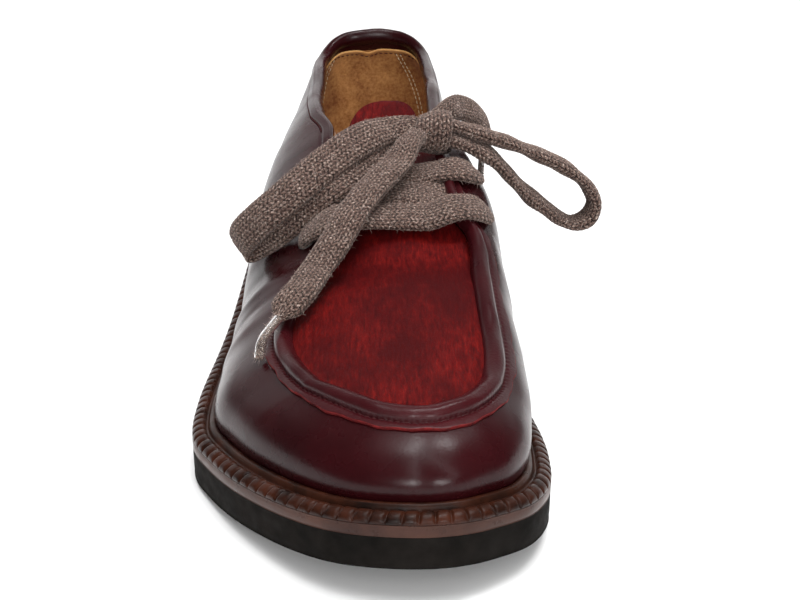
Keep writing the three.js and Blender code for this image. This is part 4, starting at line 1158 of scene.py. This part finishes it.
def build_bars():
    kernel = np.ones(15) / 15

    def softened(data):
        padded = np.pad(data, ((7, 7), (0, 0)), mode="edge")
        return np.stack([np.convolve(column, kernel, "valid") for column in padded.T], 1)

    for seed, (name, rows) in enumerate(BARS.items()):
        place, along, out, width = catmull(rows, False, 40 * len(rows)).T
        points, normals = (softened(data) for data in spots_over(along, place, out))
        across = unit(np.cross(unit(np.gradient(points, axis=0)), normals))
        thickness = np.full((len(points), 1), float(LACE_THICKNESS))
        lace(name, points, across, (width * LACE_WIDTH)[:, None], thickness, seed + 3)[0]
    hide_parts("lace_bars")


EYELETS = {
    "eyelet_lateral_front": (0.622, -0.540), "eyelet_lateral_back": (0.545, -0.550),
    "eyelet_medial_front": (0.612, 0.780), "eyelet_medial_back": (0.543, 0.720),
}


def build_eyelets():
    bore, lip, sides = EYELET_HOLE / 2, EYELET_FLANGE / 2, 48
    profile = np.array([(bore, -WALL), (bore + 0.5, -WALL), (bore + 0.6, 0.1), (lip - 0.1, 0.15),
                        (lip, 0.35), (lip - 0.15, 0.7), (lip - 0.6, 0.95), (bore + 0.5, 0.9),
                        (bore + 0.1, 0.6), (bore, 0.2)])
    angle = np.linspace(0, 2 * math.pi, sides, endpoint=False)
    ring = np.stack([np.outer(np.cos(angle), profile[:, 0]), np.outer(np.sin(angle), profile[:, 0]),
                     np.repeat(profile[:, 1][None], sides, 0)], 2)
    for name, (along, place) in EYELETS.items():
        point, normal = spots_over(np.array(along), np.array(place), 0.0)
        turn = np.array(Vector((0, 0, 1)).rotation_difference(Vector(normal)).to_matrix())
        made = grid(name + "_ring", ring @ turn.T + point, [metal], (True, True))
        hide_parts(name)


def build_aglets(bow):
    """Clear sleeves round the narrow tips of the two free ends."""
    made = {}
    angle = np.linspace(0, 2 * math.pi, 20, endpoint=False)[None, :, None]
    for name, cord in (("aglet_front", "lace_end_front"), ("aglet_back", "lace_end_back")):
        line = bow[cord][1]
        run = distances(line)[1:]
        centres = line[np.searchsorted(run, run[-1] - AGLET_LENGTH):]
        along = unit(np.gradient(centres, axis=0))
        side = unit(np.cross(along, (0, 0, 1.0)))
        up = np.cross(side, along)
        radius = np.full(len(centres), 1.5)
        radius[-3:] = [1.45, 1.35, 1.1]
        ring = side[:, None] * np.cos(angle) + 0.8 * up[:, None] * np.sin(angle)
        thing = grid(name + "_sleeve", centres[:, None] + ring * radius[:, None, None], [film], (False, True),
                     flip=True)
        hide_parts(name)
        made[cord] = thing
    return made


bow = build_bow()
knot = build_knot()
build_bars()
build_eyelets()
aglets = build_aglets(bow)

for name, (thing, line, length) in bow.items():
    pieces = [aglets[name]] if name in aglets else ([knot] if name == "lace_loop_lateral" else [])
    pieces = [*pieces, *(bit for piece in [thing, *pieces] for bit in loose.get(piece.name, []))]


# ---- floor, light

def add_floor():
    size, behind, rise, bend_radius = 12.0, 0.9, 4.0, 0.5
    profile = [(-size, 0.0), (behind, 0.0)]
    profile += [(behind + bend_radius * math.sin(a), bend_radius * (1 - math.cos(a)))
                for a in np.linspace(0, math.pi / 2, 12)]
    profile += [(behind + bend_radius, rise)]
    points = [(x, y, z) for y, z in profile for x in (-size, size)]
    faces = [(2 * i, 2 * i + 1, 2 * i + 3, 2 * i + 2) for i in range(len(profile) - 1)]
    mesh = bpy.data.meshes.new("floor")
    mesh.from_pydata(points, [], faces)
    mesh.polygons.foreach_set("use_smooth", [True] * len(faces))
    made = Shade("floor_paper", Roughness=0.9, Specular_IOR_Level=0.1)
    made.color(made.ramp(made.noise(3), (0.3, grey(0.88)), (0.7, grey(0.90))))
    mesh.materials.append(made.material)
    floor = bpy.data.objects.new("floor", mesh)
    bpy.context.collection.objects.link(floor)


TOE, SHOE = (0.01, -0.13, 0.03), (0, 0, 0.05)
# Name, place, target, size, power
LAMPS = [
    # small lamps make the highlights on the toe, at each side of the camera and overhead
    ("overhead_left", (0.02, -0.12, 1.2), TOE, (0.06, 0.3), 2.6),
    ("overhead_right", (0.44, -0.02, 1.15), TOE, (0.06, 0.3), 3.0),
    ("front_left", (-0.08, -1.05, 0.34), TOE, (0.07, 0.25), 2.4),
    ("front_right", (0.44, -1.02, 0.30), TOE, (0.07, 0.25), 2.4),
    # a tall strip above each joins its two highlights
    ("strip_left", (-0.02, -0.62, 0.80), TOE, (0.05, 1.2), 1.5),
    ("strip_right", (0.43, -0.56, 0.80), TOE, (0.05, 1.2), 1.5),
    # low ones behind make the sheen along both sides
    ("back_left", (-1.1, 1.0, 0.75), SHOE, (0.7, 0.9), 1.0),
    ("back_right", (1.1, 0.9, 0.8), SHOE, (0.6, 0.9), 0.7),
    # large soft fills
    ("ceiling", (0.0, 0.1, 1.5), (0, 0, 0), (1.6, 1.6), 26),
    ("front_fill", (0.0, -1.3, 0.9), SHOE, (1.1, 0.8), 4.5),
    ("backdrop", (0.0, 0.5, 1.5), (0, 1.0, 0), (1.6, 0.5), 3.5),
]
# Fills that glossy surfaces don't show
MATT_FILLS = ("ceiling", "front_fill", "backdrop")


def add_light():
    world = bpy.data.worlds.new("studio")
    bpy.context.scene.world = world
    world.use_nodes = True
    background = world.node_tree.nodes["Background"]
    background.inputs["Color"].default_value = (1, 1, 1, 1)
    background.inputs["Strength"].default_value = 0.1
    bpy.context.scene.view_settings.view_transform = "Standard"
    for name, place, target, size, power in LAMPS:
        data = bpy.data.lights.new(name, "AREA")
        data.shape = "RECTANGLE"
        data.size, data.size_y = size
        data.energy = power
        lamp = bpy.data.objects.new(name, data)
        bpy.context.collection.objects.link(lamp)
        lamp.location = place
        lamp.rotation_euler = (Vector(target) - Vector(place)).to_track_quat("-Z", "Y").to_euler()
        lamp.visible_glossy = name not in MATT_FILLS


add_floor()
add_light()
